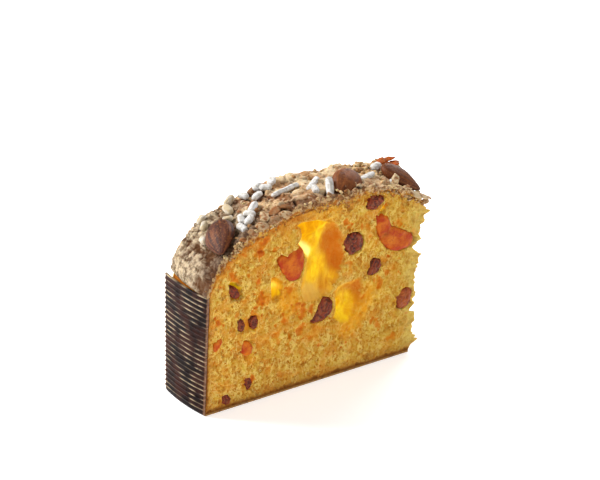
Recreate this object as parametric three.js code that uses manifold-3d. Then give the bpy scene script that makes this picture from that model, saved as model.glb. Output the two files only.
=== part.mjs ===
// A torn half slice of colomba, the Italian Easter cake, with the strip of paper case it was baked in.
//
// Millimetres, +Z up. The slice is worked out in its own cut frame and moved to the middle at the end:
//   x runs along the cut, from the outside of the paper case (0) to the torn end,
//   y runs across the slice, with the front cut at -y and the back cut at +y,
//   z runs up from the table.
import * as THREE from 'three';
import { mergeVertices } from 'three/addons/utils/BufferGeometryUtils.js';
import Module from 'manifold-3d';

const wasm = await Module();
wasm.setup();

// ---------------------------------------------------------------- driving dimensions

const GAP = 0.35;                 // air kept between two pieces that touch

const CUT_LENGTH = 127.7;         // front cut at the table, from the case to the torn end
const THICKNESS = 31.5;           // slice thickness at the table
const KNIFE_LEAN = 0.0261;        // each cut leans out by this much per mm of height
const TEAR_LEAN_LOW = 2.5;        // the back of the torn end reaches further than its front,
const TEAR_LEAN_HIGH = 9;         // a little at the table and much more under the glaze
const TEAR_ROUGHNESS = 1.5;       // height of the tufts on the torn end

const CASE_HEIGHT = 65;           // wall of a one kilo case
const CASE_RADIUS = 90;           // bend of the case wall, seen from above
const CASE_BULGE_Y = 5;           // where that bend stands out furthest
const PAPER = 0.8;                // thickness of the case paper
const RIDGES = 24;                // corrugations up the wall
const RIDGE_DEPTH = 0.7;
const LIP_RADIUS = 1.4;           // the wall turns under itself at the table

const CREST_X = 70;               // where the dome levels out
const DOME_RISE = 33.5;           // rise of the crumb above the case
const SHRINK_BACK = 4.2;          // at the back the baked shoulder has drawn away from the case
const FRONT_SINK = 14.5;          // how far the dome falls towards the torn end, at the front
const BACK_SINK = 4.8;            // and at the back
const BACK_LOWER = 3;             // the back cut is this much lower all along
const GLAZE = 3.8;                // thickness of the almond glaze
const GLAZE_BED = 0.9;            // the glaze starts this far above the crumb

const REACH_PER_LIFT = 0.55;      // a layer lifted by 1 mm on top stands out by this much at the shoulder
const END_PER_LIFT = 0.25;        // and by this much at the torn end

const CRUMB_RELIEF = 0.45;        // unevenness of the two cut faces
const BED_GAP = 0.5;              // a raisin or almond lies this loose in its bed
const GLAZE_RELIEF = 1.1;         // unevenness of the cracked glaze
const ROD_STANDS = 0.4;           // how far the middle of a sugar rod, a nib and a loose flake stands
const NIB_STANDS = 0.2;           // above the glaze, as shares of its width
const FLAKE_STANDS = 0.04;
const FLAKE_FLATNESS = 0.3;

// How finely the pieces are divided along, across and up the slice.
const CRUMB_GRID = [30, 4, 20];
const GLAZE_GRID = [30, 7, 1];
const CASE_STEPS = 4;

const MIDDLE_X = 68.9;            // the middle of the whole slice, along x

// ---------------------------------------------------------------- small helpers

const { sin, cos, sqrt, abs, max, floor, PI, hypot } = Math;
const lerp = THREE.MathUtils.lerp;
const clamp = THREE.MathUtils.clamp;
const radians = THREE.MathUtils.degToRad;
const smooth = (t) => THREE.MathUtils.smoothstep(t, 0, 1);

// A seeded random draw, so that the same slice comes out each time.
function seededDraw(seed) {
  let state = seed;
  return () => {
    state = (state * 1664525 + 1013904223) % 4294967296;
    return state / 4294967296;
  };
}

function cornerValue(i, j, k) {
  const wave = sin(i * 127.1 + j * 311.7 + k * 74.7) * 43758.5453;
  return 2 * (wave - floor(wave)) - 1;
}

// Smooth unevenness from -1 to 1, one bump to each unit of x, y and z.
function unevenness(x, y, z) {
  const [i, j, k] = [floor(x), floor(y), floor(z)];
  const [a, b, c] = [smooth(x - i), smooth(y - j), smooth(z - k)];
  const edge = (dj, dk) => lerp(cornerValue(i, j + dj, k + dk), cornerValue(i + 1, j + dj, k + dk), a);
  return lerp(lerp(edge(0, 0), edge(1, 0), b), lerp(edge(0, 1), edge(1, 1), b), c);
}

// Keeps only the positions of a geometry and joins its shared corners.
function weld(geometry) {
  for (const name of Object.keys(geometry.attributes)) {
    if (name !== 'position') geometry.deleteAttribute(name);
  }
  return mergeVertices(geometry, 1e-4);
}

// Moves every corner of a geometry by a rule.
function reshape(geometry, rule) {
  const welded = weld(geometry);
  const corners = welded.attributes.position;
  const point = new THREE.Vector3();
  for (let i = 0; i < corners.count; i += 1) {
    point.fromBufferAttribute(corners, i);
    rule(point);
    corners.setXYZ(i, point.x, point.y, point.z);
  }
  return welded;
}

function toSolid(geometry) {
  const welded = weld(geometry);
  return new wasm.Manifold(new wasm.Mesh({
    numProp: 3,
    vertProperties: new Float32Array(welded.attributes.position.array),
    triVerts: new Uint32Array(welded.index.array),
  }));
}

function toGeometry(solid) {
  const { vertProperties, triVerts } = solid.getMesh();
  const geometry = new THREE.BufferGeometry();
  geometry.setAttribute('position', new THREE.BufferAttribute(new Float32Array(vertProperties), 3));
  geometry.setIndex(new THREE.BufferAttribute(new Uint32Array(triVerts), 1));
  geometry.computeVertexNormals();
  return geometry;
}

function piece(name, geometry, color, roughness) {
  const mesh = new THREE.Mesh(geometry, new THREE.MeshStandardMaterial({ color, roughness, metalness: 0 }));
  mesh.name = name;
  return mesh;
}

// ---------------------------------------------------------------- the outline of the slice

// Across runs from -1 at the front cut to 1 at the back cut, at every height.
const halfThickness = (z) => THICKNESS / 2 + KNIFE_LEAN * z;
const acrossAt = (y, z) => clamp(y / halfThickness(z), -1, 1);

const CASE_WALL = RIDGE_DEPTH + PAPER;
const bend = (y) => CASE_RADIUS - sqrt(CASE_RADIUS ** 2 - (y - CASE_BULGE_Y) ** 2);
const caseX = (across) => bend(across * THICKNESS / 2) - bend(-THICKNESS / 2);

function tornX(across, z) {
  const back = (across + 1) / 2;
  const lean = back * (TEAR_LEAN_LOW + TEAR_LEAN_HIGH * clamp(z / 95, 0, 1) ** 2);
  const frontLip = 2.5 * (1 - back) * smooth((z - 74) / 10);
  const large = unevenness(3, 2 * across, z / 9);
  const small = unevenness(9, 3.7 * across, z / 5);
  return CUT_LENGTH + lean + frontLip + TEAR_ROUGHNESS * (large + 0.6 * small);
}

// How much lower the dome is than its crest.
function domeSink(x, across) {
  const back = (across + 1) / 2;
  const along = max(0, (x - 80) / 48);
  const falls = lerp(FRONT_SINK * along ** 2.4, BACK_SINK * along ** 2, smooth(1.2 * back));
  return falls + BACK_LOWER * back ** 1.5;
}

// A point of the dome: u runs from the case's rim (0) over the crest to the torn end (1).
// Lift is the distance above the crumb's own top.
const DOME_FOOT = CASE_HEIGHT + 0.5;
const SHOULDER_SHARE = 0.57;
const domeFoot = (across) => CASE_WALL + GAP + caseX(across) + SHRINK_BACK * (across + 1) / 2;
const domeReach = (across, lift) => CREST_X - domeFoot(across) + REACH_PER_LIFT * lift;

function domePoint(u, across, lift) {
  const rise = DOME_RISE + lift;
  if (u < SHOULDER_SHARE) {
    const share = u / SHOULDER_SHARE;
    const angle = (PI / 2) * (1.3 * share - 0.3 * share ** 2);
    const x = CREST_X - domeReach(across, lift) * cos(angle);
    return [x, DOME_FOOT + (rise - domeSink(x, across)) * sin(angle)];
  }
  const end = tornX(across, 92) + END_PER_LIFT * lift;
  const x = lerp(CREST_X, end, (u - SHOULDER_SHARE) / (1 - SHOULDER_SHARE));
  return [x, DOME_FOOT + rise - domeSink(x, across)];
}

// The same dome read at a given x and y, for what lies on it.
function domeHeight(x, y, lift) {
  const across = acrossAt(y, DOME_FOOT + DOME_RISE);
  const level = clamp((CREST_X - x) / domeReach(across, lift), 0, 1);
  return DOME_FOOT + (DOME_RISE + lift - domeSink(x, across)) * sqrt(1 - level ** 2);
}

function domeNormal(x, y) {
  const step = 1.5;
  const slopeX = (domeHeight(x + step, y, GLAZE) - domeHeight(x - step, y, GLAZE)) / (2 * step);
  const slopeY = (domeHeight(x, y + step, GLAZE) - domeHeight(x, y - step, GLAZE)) / (2 * step);
  return new THREE.Vector3(-slopeX, -slopeY, 1).normalize();
}

// ---------------------------------------------------------------- lumps: raisins, peel, bubbles, almonds

// A rounded lump. size holds its three widths, square is 0 for an egg and towards 1 for a box,
// and wrinkle is how much its skin is pinched in, as a share of its size.
function lump({ size, square = 0, wrinkle = 0, seed = 1 }) {
  return reshape(new THREE.IcosahedronGeometry(1, 1), (p) => {
    const power = 2 + 6 * square;
    const spread = (abs(p.x) ** power + abs(p.y) ** power + abs(p.z) ** power) ** (-1 / power);
    const pinch = 1 - wrinkle * (0.5 + 0.5 * unevenness(2.3 * p.x + seed, 2.3 * p.y, 2.3 * p.z - seed));
    p.multiplyScalar(spread * pinch);
    p.set(p.x * size[0] / 2, p.y * size[1] / 2, p.z * size[2] / 2);
  });
}

const RAISIN_WRINKLE = 0.16;
const RAISIN_SQUARE = 0.3;
const PEEL_WRINKLE = 0.1;

// What sits in a cut face: x and z on the face, the width and height that show, how the long side
// turns, how thick the piece is, and how far its middle lies behind the face.
const RAISINS = [
  { name: 'raisin_under_glaze', x: 98.5, z: 91.8, w: 12.6, h: 9, turn: 30, thick: 7, sunk: 2.7 },
  { name: 'raisin_upper', x: 86.2, z: 73.8, w: 13, h: 13.5, turn: -20, thick: 7.5, sunk: 2.9 },
  { name: 'raisin_half_hidden', x: 101, z: 57.3, w: 9.5, h: 10.5, turn: -20, thick: 6, sunk: 2.6 },
  { name: 'raisin_middle', x: 71.5, z: 41, w: 17, h: 9.5, turn: 42, thick: 7, sunk: 2.7 },
  { name: 'raisin_torn_edge', x: 121.4, z: 32.9, w: 10, h: 16, turn: -35, thick: 7.5, sunk: 2.8 },
  { name: 'raisin_small', x: 15.6, z: 65, w: 5, h: 6.5, turn: 15, thick: 4.6, sunk: 1.9 },
  { name: 'raisin_left', x: 20.6, z: 43.4, w: 7, h: 8.5, turn: 12, thick: 5.5, sunk: 2.6 },
  { name: 'raisin_left_twin', x: 29, z: 46, w: 6, h: 10, turn: 18, thick: 5, sunk: 2.4 },
  { name: 'raisin_low', x: 27.1, z: 10.8, w: 5.6, h: 8, turn: -15, thick: 5, sunk: 2.2 },
  { name: 'raisin_bottom', x: 13.7, z: 5.2, w: 5.6, h: 6, turn: 0, thick: 5, sunk: 2.2 },
].map((raisin) => ({ ...raisin, square: RAISIN_SQUARE }));
const PEELS = [
  { name: 'peel_large', x: 50, z: 70.9, w: 17.5, h: 18.5, turn: 12, thick: 8.5, sunk: 3.2, square: 0.4 },
  { name: 'peel_torn_edge', x: 113.6, z: 69.3, w: 22, h: 11.5, turn: -24, thick: 9.5, sunk: 3.7, square: 0.4,
    arm: { x: 105.4, z: 77.2, w: 9, h: 16, turn: -4, thick: 7.5, sunk: 3.1, square: 0.3 } },
  { name: 'peel_small', x: 24.6, z: 30.8, w: 6.5, h: 9, turn: 10, thick: 6.5, sunk: 2.7, square: 0.4 },
  { name: 'peel_sliver', x: 8.4, z: 37.7, w: 4, h: 8.5, turn: -25, thick: 5, sunk: 1.9, square: 0.3 },
];
// The back cut can't be seen, so it has the same kinds of fruit in another order.
const BACK_RAISINS = [
  { name: 'raisin_back_1', x: 34, z: 78, w: 10, h: 7.5, turn: 30, thick: 6.5, sunk: 2.5 },
  { name: 'raisin_back_2', x: 92, z: 60, w: 9, h: 11, turn: -20, thick: 6.5, sunk: 2.5 },
  { name: 'raisin_back_3', x: 58, z: 25, w: 12, h: 7, turn: 20, thick: 6.5, sunk: 2.5 },
  { name: 'raisin_back_4', x: 108, z: 22, w: 7, h: 8, turn: 0, thick: 6, sunk: 2.3 },
  { name: 'raisin_back_5', x: 16, z: 34, w: 7, h: 6, turn: 10, thick: 5.5, sunk: 2.1 },
].map((raisin) => ({ ...raisin, square: RAISIN_SQUARE }));
const BACK_PEELS = [
  { name: 'peel_back_1', x: 72, z: 80, w: 13, h: 11, turn: 25, thick: 8, sunk: 2.8, square: 0.4 },
  { name: 'peel_back_2', x: 38, z: 48, w: 8, h: 11, turn: -15, thick: 7, sunk: 2.6, square: 0.4 },
];

// One piece of fruit, or the bed it needs when clearance is more than 0. An arm is a second lump
// grown onto the first.
function fruitSolid(fruit, side, { wrinkle, seed, clearance = 0 }) {
  const size = [fruit.w, fruit.thick, fruit.h].map((width) => width + 2 * clearance);
  const body = lump({ size, square: fruit.square, wrinkle, seed });
  body.rotateY(-radians(fruit.turn)).translate(
    fruit.x,
    side * (halfThickness(fruit.z) - fruit.sunk),
    fruit.z,
  );
  const solid = toSolid(body);
  return fruit.arm ? solid.add(fruitSolid(fruit.arm, side, { wrinkle, seed, clearance })) : solid;
}

// ---------------------------------------------------------------- crumb

// Bubbles that stand open at the cuts: rows like the fruit's, with the middle on the face.
const FRONT_BUBBLES = [
  { x: 60.5, z: 85, w: 17, h: 13, turn: 20, thick: 20 },
  { x: 71, z: 74, w: 13.5, h: 34, turn: -17, thick: 13 },
  { x: 66.5, z: 56, w: 12, h: 22, turn: -14, thick: 10 },
  { x: 86.5, z: 43, w: 14, h: 24, turn: -22, thick: 14 },
  { x: 40.6, z: 59, w: 6, h: 14, turn: -8, thick: 13 },
  { x: 104.6, z: 88, w: 5, h: 9, turn: -30, thick: 9 },
  { x: 17.4, z: 62.5, w: 8, h: 10, turn: 20, thick: 8 },
  { x: 25, z: 26, w: 6, h: 9, turn: 0, thick: 6 },
].map((bubble) => ({ ...bubble, sunk: 0 }));
const BACK_BUBBLES = [
  { x: 55, z: 86, w: 12, h: 9, turn: 10, thick: 12 },
  { x: 84, z: 42, w: 10, h: 18, turn: 15, thick: 12 },
  { x: 110, z: 74, w: 8, h: 12, turn: 12, thick: 10 },
  { x: 50, z: 62, w: 7, h: 14, turn: 10, thick: 9 },
  { x: 24, z: 58, w: 6, h: 9, turn: 0, thick: 7 },
].map((bubble) => ({ ...bubble, sunk: 0 }));
const BUBBLE_WRINKLE = 0.12;

const CRUMB_FLOOR = PAPER + GAP;

// A point of the crumb block from its shares along (u) and up (w), blended in from the four
// edges of the cut: the table, the case, the dome and the torn end.
function crumbPoint(u, across, w) {
  const foot = caseX(across) + CASE_WALL + GAP;
  const rim = domeFoot(across);
  const footEnd = tornX(across, CRUMB_FLOOR);
  const [domeX, domeZ] = domePoint(u, across, 0);
  const [domeEnd, endZ] = domePoint(1, across, 0);
  const leftX = lerp(foot, rim, smooth((w - 0.8) / 0.2));
  const rightX = lerp(tornX(across, lerp(CRUMB_FLOOR, endZ, w)), domeEnd, smooth((w - 0.85) / 0.15));
  const leftBow = leftX - lerp(foot, rim, w);
  const rightBow = rightX - lerp(footEnd, domeEnd, w);
  const x = lerp(lerp(foot, footEnd, u), domeX, w) + lerp(leftBow, rightBow, u);
  const z = lerp(CRUMB_FLOOR, domeZ, w);
  return [x, across * halfThickness(z), z];
}

function crumbBlock() {
  return reshape(new THREE.BoxGeometry(1, 1, 1, ...CRUMB_GRID), (p) => {
    const [u, across, w] = [p.x + 0.5, 2 * p.y, p.z + 0.5];
    const [x, y, z] = crumbPoint(u, across, w);
    const onEdge = u < 0.01 || u > 0.99 || w < 0.01 || w > 0.99;
    const onCut = abs(across) > 0.99;
    const rough = unevenness(x / 6, 3 * across, z / 6) + 0.7 * unevenness(x / 3.5, 2 * across, z / 4.5);
    const relief = onCut && !onEdge ? CRUMB_RELIEF * rough : 0;
    p.set(x, y + across * relief, z);
  });
}

function crumb() {
  let block = toSolid(crumbBlock());
  const carve = (things, side, wrinkle, clearance) => things.forEach((thing, index) => {
    block = block.subtract(fruitSolid(thing, side, { wrinkle, seed: index + 1, clearance }));
  });
  carve(FRONT_BUBBLES, -1, BUBBLE_WRINKLE, 0);
  carve(BACK_BUBBLES, 1, BUBBLE_WRINKLE, 0);
  carve(RAISINS, -1, RAISIN_WRINKLE, BED_GAP);
  carve(PEELS, -1, PEEL_WRINKLE, BED_GAP);
  carve(BACK_RAISINS, 1, RAISIN_WRINKLE, BED_GAP);
  carve(BACK_PEELS, 1, PEEL_WRINKLE, BED_GAP);
  // Slivers that the beds cut loose fall away.
  const [largest] = block.decompose().sort((one, other) => other.volume() - one.volume());
  return piece('crumb', toGeometry(largest), 0xe0b04a, 0.85);
}

// ---------------------------------------------------------------- raisins and candied peel

function fruits() {
  const make = (things, side, wrinkle, color) => things.map((fruit, index) => {
    const solid = fruitSolid(fruit, side, { wrinkle, seed: index + 1 });
    return piece(fruit.name, toGeometry(solid), color, 0.4);
  });
  return [
    ...make(RAISINS, -1, RAISIN_WRINKLE, 0x5a2a1e),
    ...make(BACK_RAISINS, 1, RAISIN_WRINKLE, 0x5a2a1e),
    ...make(PEELS, -1, PEEL_WRINKLE, 0xc8501e),
    ...make(BACK_PEELS, 1, PEEL_WRINKLE, 0xc8501e),
  ];
}

// ---------------------------------------------------------------- paper case

// The case is one folded strip: a corrugated wall, a rounded foot and the floor sheet under the cake.
function paperCase() {
  const section = new THREE.Shape();
  const pitch = (CASE_HEIGHT - LIP_RADIUS) / RIDGES;
  section.moveTo(LIP_RADIUS, 0);
  section.lineTo(0.3 * LIP_RADIUS, 0.3 * LIP_RADIUS);
  section.lineTo(0, LIP_RADIUS);
  for (let ridge = 0; ridge < RIDGES; ridge += 1) {
    const foot = LIP_RADIUS + ridge * pitch;
    section.lineTo(RIDGE_DEPTH, foot + 0.35 * pitch);
    section.lineTo(RIDGE_DEPTH, foot + 0.6 * pitch);
    section.lineTo(0, foot + pitch);
  }
  section.lineTo(CASE_WALL, CASE_HEIGHT);
  section.lineTo(CASE_WALL, PAPER);
  section.lineTo(CUT_LENGTH, PAPER);
  section.lineTo(CUT_LENGTH, 0);
  const strip = new THREE.ExtrudeGeometry(section, { depth: 2, steps: CASE_STEPS, bevelEnabled: false });
  strip.rotateX(PI / 2).translate(0, 1, 0);
  const bent = reshape(strip, (p) => {
    const across = p.y;
    const tornEdge = tornX(across, 0) - CUT_LENGTH;
    p.set(p.x + lerp(caseX(across), tornEdge, p.x / CUT_LENGTH), across * halfThickness(p.z), p.z);
  });
  return piece('paper_case', bent, 0x3a2220, 0.45);
}

// ---------------------------------------------------------------- almonds

// An almond in its skin, lying flat with its tip along +x: length, width and thickness.
function almondShape({ size, clearance = 0 }) {
  const [length, width, thickness] = size.map((measure) => measure + 2 * clearance);
  return reshape(new THREE.SphereGeometry(1, 14, 8).rotateZ(-PI / 2), (p) => {
    const taper = 1 - 0.3 * smooth(p.x) - 0.12 * p.x;
    const around = Math.atan2(p.z, p.y);
    const ridge = 1 + 0.02 * cos(8 * around) * (1 - p.x ** 4);
    p.set(p.x * length / 2, p.y * taper * ridge * width / 2, p.z * taper * ridge * thickness / 2);
  });
}

// Each almond lies on the glaze at x, y. It is turned about the upright, then tipped towards the
// front, and its middle stands above the glaze by rise.
const ALMONDS = [
  { name: 'almond_left', x: 14.8, y: -7, size: [24, 15, 7], heading: 220, tipFront: 0, rise: 1.6 },
  { name: 'almond_middle', x: 86, y: -10, size: [20, 14.5, 7.5], heading: 215, tipFront: 26, rise: 1.2 },
  { name: 'almond_right', x: 124, y: -4.5, size: [24, 13, 8], heading: -32, tipFront: 6, rise: 2.2 },
];

function layAlmond(almond, clearance) {
  const shape = almondShape({ size: almond.size, clearance });
  const onDome = new THREE.Quaternion().setFromUnitVectors(
    new THREE.Vector3(0, 0, 1),
    domeNormal(almond.x, almond.y),
  );
  shape.rotateZ(radians(almond.heading));
  shape.rotateX(radians(almond.tipFront));
  shape.applyQuaternion(onDome);
  const rest = domeHeight(almond.x, almond.y, GLAZE);
  const up = domeNormal(almond.x, almond.y).multiplyScalar(almond.rise);
  return shape.translate(almond.x + up.x, almond.y + up.y, rest + up.z);
}

const almonds = () => ALMONDS.map((almond) => piece(almond.name, layAlmond(almond, 0), 0x7a4632, 0.6));

// ---------------------------------------------------------------- glaze with pearl sugar

// The big rods of pearl sugar, as they lie: heading is seen from above, and rise tips them up.
const SUGAR_RODS = [
  { x: 57, y: 1, length: 15, width: 3.8, heading: 8, rise: 0 },
  { x: 71.5, y: -2.5, length: 13, width: 4, heading: 38, rise: 6 },
  { x: 75.5, y: -10.5, length: 11, width: 5, heading: 60, rise: 40 },
  { x: 102, y: -6, length: 10, width: 4.4, heading: 32, rise: 25 },
  { x: 117.5, y: 6.5, length: 9, width: 6.5, heading: 20, rise: 10 },
];
// Smaller nibs lie in drifts: the middle of each drift, its spread and how many nibs it holds.
const SUGAR_DRIFTS = [
  { x: 30, y: -5, spread: 8, count: 8 },
  { x: 18, y: 8, spread: 7, count: 4 },
  { x: 53, y: 11, spread: 8, count: 5 },
  { x: 79, y: 12, spread: 7, count: 3 },
  { x: 104, y: 10, spread: 8, count: 3 },
  { x: 66, y: -10, spread: 4, count: 2 },
];
// Flakes of glaze that broke loose along the torn end.
const FLAKES = [
  { x: 124, y: -14.5, length: 15, width: 5, heading: -8, rise: -14 },
  { x: 122.5, y: -8.5, length: 9, width: 6, heading: 30, rise: -10 },
  { x: 134, y: 12.5, length: 10, width: 8, heading: 12, rise: -6 },
  { x: 118, y: 15, length: 11, width: 5, heading: -25, rise: 8 },
];

function nib({ length, width, flat = 1 }, sides) {
  const rod = new THREE.CapsuleGeometry(width / 2, length - width, 1, sides, 1);
  return reshape(rod.rotateZ(PI / 2), (p) => {
    p.y *= 1 + 0.12 * unevenness(p.x, 1, length);
    p.z *= flat;
  });
}

function layOnGlaze(shape, { x, y, heading, rise }, height) {
  shape.rotateY(-radians(rise));
  shape.rotateZ(radians(heading));
  return shape.translate(x, y, domeHeight(x, y, GLAZE) + height);
}

function clearOfAlmonds(x, y, margin) {
  return ALMONDS.every((almond) => hypot(almond.x - x, almond.y - y) > almond.size[0] / 2 + margin);
}

function driftNibs() {
  const draw = seededDraw(41);
  const nibs = [];
  for (const drift of SUGAR_DRIFTS) {
    for (let i = 0; i < drift.count; i += 1) {
      const around = 2 * PI * ((i + 0.6 * draw()) / drift.count);
      const out = drift.spread * sqrt(0.15 + 0.85 * draw());
      const x = drift.x + out * cos(around);
      const y = clamp(drift.y + 0.8 * out * sin(around), -15, 15);
      const width = 3.2 + 1.2 * draw();
      const length = width + 0.5 + 3.5 * draw();
      const spot = { x, y, width, length, heading: 180 * draw(), rise: 12 * draw() };
      if (clearOfAlmonds(x, y, 2)) nibs.push(spot);
    }
  }
  return nibs;
}

function glaze() {
  const shell = reshape(new THREE.BoxGeometry(1, 1, 1, ...GLAZE_GRID), (p) => {
    const [u, across, w] = [p.x + 0.5, 2 * p.y, p.z + 0.5];
    const cracked = unevenness(u * 26, 3.5 * across, 2) + 0.6 * unevenness(u * 55, 7 * across, 5);
    const lift = lerp(GLAZE_BED, GLAZE + GLAZE_RELIEF * cracked, w);
    const [x, z] = domePoint(u, across, lift);
    p.set(x, across * halfThickness(z), z);
  });
  let solid = toSolid(shell);
  const fuse = (shape) => {
    solid = solid.add(toSolid(shape));
  };
  SUGAR_RODS.forEach((rod) => fuse(layOnGlaze(nib(rod, 6), rod, ROD_STANDS * rod.width)));
  driftNibs().forEach((spot) => fuse(layOnGlaze(nib(spot, 5), spot, NIB_STANDS * spot.width)));
  FLAKES.forEach((flake) => {
    const shape = nib({ ...flake, flat: FLAKE_FLATNESS }, 6);
    fuse(layOnGlaze(shape, flake, FLAKE_STANDS * flake.width));
  });
  ALMONDS.forEach((almond) => {
    solid = solid.subtract(toSolid(layAlmond(almond, BED_GAP)));
  });
  return piece('glaze', toGeometry(solid), 0xc9ad8a, 0.75);
}

// ---------------------------------------------------------------- the slice

const slice = new THREE.Group();
slice.add(crumb(), glaze(), paperCase(), ...almonds(), ...fruits());
slice.position.x = -MIDDLE_X;

export default slice;
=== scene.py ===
# %% [markdown]
# # A torn half slice of colomba, the Easter dove cake
#
# The slice stands upright on its strip of paper case. The front shows the knife cut: an open yellow
# crumb with stretched bubbles, raisins and candied orange peel. The left end wears the dark pleated
# paper, the top is domed and carries a cracked almond glaze with pearl sugar and whole almonds, and
# the right end is torn.
#
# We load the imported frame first. Everything is made in the frame's own place and size, so nothing
# has to be fitted afterwards.

# %%
import math
import bpy
import bmesh
import numpy as np
from mathutils import Vector, Matrix


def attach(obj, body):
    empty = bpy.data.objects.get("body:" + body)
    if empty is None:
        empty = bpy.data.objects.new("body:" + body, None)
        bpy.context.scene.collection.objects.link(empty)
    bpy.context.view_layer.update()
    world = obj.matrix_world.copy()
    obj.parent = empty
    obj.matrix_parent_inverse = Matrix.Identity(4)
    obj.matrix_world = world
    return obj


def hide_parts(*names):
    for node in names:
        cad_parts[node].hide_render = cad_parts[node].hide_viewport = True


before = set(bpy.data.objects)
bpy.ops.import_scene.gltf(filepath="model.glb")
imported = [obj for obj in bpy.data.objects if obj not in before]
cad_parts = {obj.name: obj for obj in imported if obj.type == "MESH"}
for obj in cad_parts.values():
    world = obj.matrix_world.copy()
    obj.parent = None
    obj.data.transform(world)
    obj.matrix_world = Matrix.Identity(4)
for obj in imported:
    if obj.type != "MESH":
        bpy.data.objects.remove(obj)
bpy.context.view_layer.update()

# %% [markdown]
# ## The outline of the slice
#
# The paper case gives the left end, the dome the top, and the tear the right end. The same few
# curves are needed by the crumb, the glaze and the paper, so they are written once, for whole
# arrays of points. Lengths are in millimetres here: x runs from the outside of the paper to the
# torn end, y across the slice from the front cut (-) to the back cut (+), z up from the table.
# `across` is the same as y, counted from -1 at the front cut to 1 at the back cut.

# %%
MIDDLE_X = 68.9  # the middle of the footprint, where the frame has its origin
CUT_LENGTH = 127.7  # from the outside of the paper to the torn end, on the table
THICKNESS = 31.5  # from cut to cut, on the table
KNIFE_LEAN = 0.0261  # how far each cut leans out, for each mm of height
CASE_HEIGHT = 65.0
CASE_BOW = 90  # the radius of the paper's wall, seen from above
CASE_BOW_Y = 5  # where across the slice that wall stands out most
PAPER = 0.8
RIDGE_DEPTH = 0.7
CASE_WALL = PAPER + RIDGE_DEPTH
GAP = 0.35  # between the paper and the crumb
CRUMB_FLOOR = PAPER + GAP
DOME_FOOT = 65.5
DOME_RISE = 33.5
CREST_X = 70.0
SHOULDER_SHARE = 0.57  # how much of the dome's outline lies left of its crest
DOME_FALL_FRONT = 14.5  # how far the dome falls towards the torn end, at the front cut
DOME_FALL_BACK = 4.8  # and at the back cut
DOME_FALL_X = 80  # where that fall begins
DOME_FALL_RUN = 48
BACK_DROP = 3  # how much lower the whole dome is at the back cut
RIM_SHIFT = 4.2  # how much further right the dome starts at the back cut
TEAR_LEAN_FOOT = 2.5  # how much further the torn end reaches at the back, on the table
TEAR_LEAN_TOP = 9  # and how much that grows up to the top
FRONT_LIP = 2.5  # how far the top of the torn end stands out at the front
TUFT = 1.5
GLAZE = 3.8


def smooth(t):
    """A soft step: 0 up to t = 0, and 1 from t = 1 on."""
    t = np.clip(t, 0, 1)
    return t * t * (3 - 2 * t)


def lerp(a, b, t):
    return a + (b - a) * t


def corner_value(i, j, k):
    """A scattered value from -1 to 1 for each whole-numbered place."""
    wave = np.sin(i * 127.1 + j * 311.7 + k * 74.7) * 43758.5453
    return 2 * (wave - np.floor(wave)) - 1


def unevenness(x, y, z):
    """Smooth unevenness from -1 to 1, one bump to each unit of x, y and z."""
    x, y, z = np.broadcast_arrays(*(np.asarray(v, float) for v in (x, y, z)))
    i, j, k = np.floor(x), np.floor(y), np.floor(z)
    a, b, c = smooth(x - i), smooth(y - j), smooth(z - k)

    def edge(dj, dk):
        return lerp(corner_value(i, j + dj, k + dk), corner_value(i + 1, j + dj, k + dk), a)

    return lerp(lerp(edge(0, 0), edge(1, 0), b), lerp(edge(0, 1), edge(1, 1), b), c)


def roughness_of(x, y, z, octaves=3):
    """Several sizes of unevenness on top of each other."""
    return sum(unevenness(x * 2**o + 17 * o, y * 2**o, z * 2**o) * 0.55**o for o in range(octaves))


def half_thickness(z):
    return THICKNESS / 2 + KNIFE_LEAN * z


def bow(y):
    """How far the paper's wall lies behind its outermost point."""
    return CASE_BOW - np.sqrt(CASE_BOW**2 - (y - CASE_BOW_Y) ** 2)


def case_x(across):
    """Where the outside of the paper lies, counted from its edge at the front cut."""
    return bow(across * THICKNESS / 2) - bow(-THICKNESS / 2)


def torn_x(across, z):
    """Where the crumb ends at the tear, which leans out to the back and the top and has small tufts."""
    back = (across + 1) / 2
    lean = back * (TEAR_LEAN_FOOT + TEAR_LEAN_TOP * np.clip(z / 95, 0, 1) ** 2)
    front_lip = FRONT_LIP * (1 - back) * smooth((z - 74) / 10)
    tufts = TUFT * (unevenness(3, 2 * across, z / 9) + 0.6 * unevenness(9, 3.7 * across, z / 5))
    return CUT_LENGTH + lean + front_lip + tufts


def dome_sink(x, across):
    """How far the dome falls below its crest, towards the torn end and the back."""
    back = (across + 1) / 2
    along = np.maximum(0, (x - DOME_FALL_X) / DOME_FALL_RUN)
    fall = lerp(DOME_FALL_FRONT * along**2.4, DOME_FALL_BACK * along**2, smooth(1.2 * back))
    return fall + BACK_DROP * back**1.5


def dome_foot(across):
    """Where the dome starts, at the paper's rim."""
    return CASE_WALL + GAP + case_x(across) + RIM_SHIFT * (across + 1) / 2


def dome_point(u, across, lift):
    """x and z on the dome, with u from the paper's rim (0) over the crest to the torn end (1)."""
    rise = DOME_RISE + lift
    share = np.minimum(u / SHOULDER_SHARE, 1)
    angle = (np.pi / 2) * (1.3 * share - 0.3 * share**2)
    reach = CREST_X - dome_foot(across) + 0.55 * lift
    shoulder_x = CREST_X - reach * np.cos(angle)
    end = torn_x(across, 92) + 0.25 * lift
    level_x = lerp(CREST_X, end, (u - SHOULDER_SHARE) / (1 - SHOULDER_SHARE))
    on_shoulder = u < SHOULDER_SHARE
    x = np.where(on_shoulder, shoulder_x, level_x)
    z = DOME_FOOT + (rise - dome_sink(x, across)) * np.where(on_shoulder, np.sin(angle), 1)
    return x, z


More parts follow.
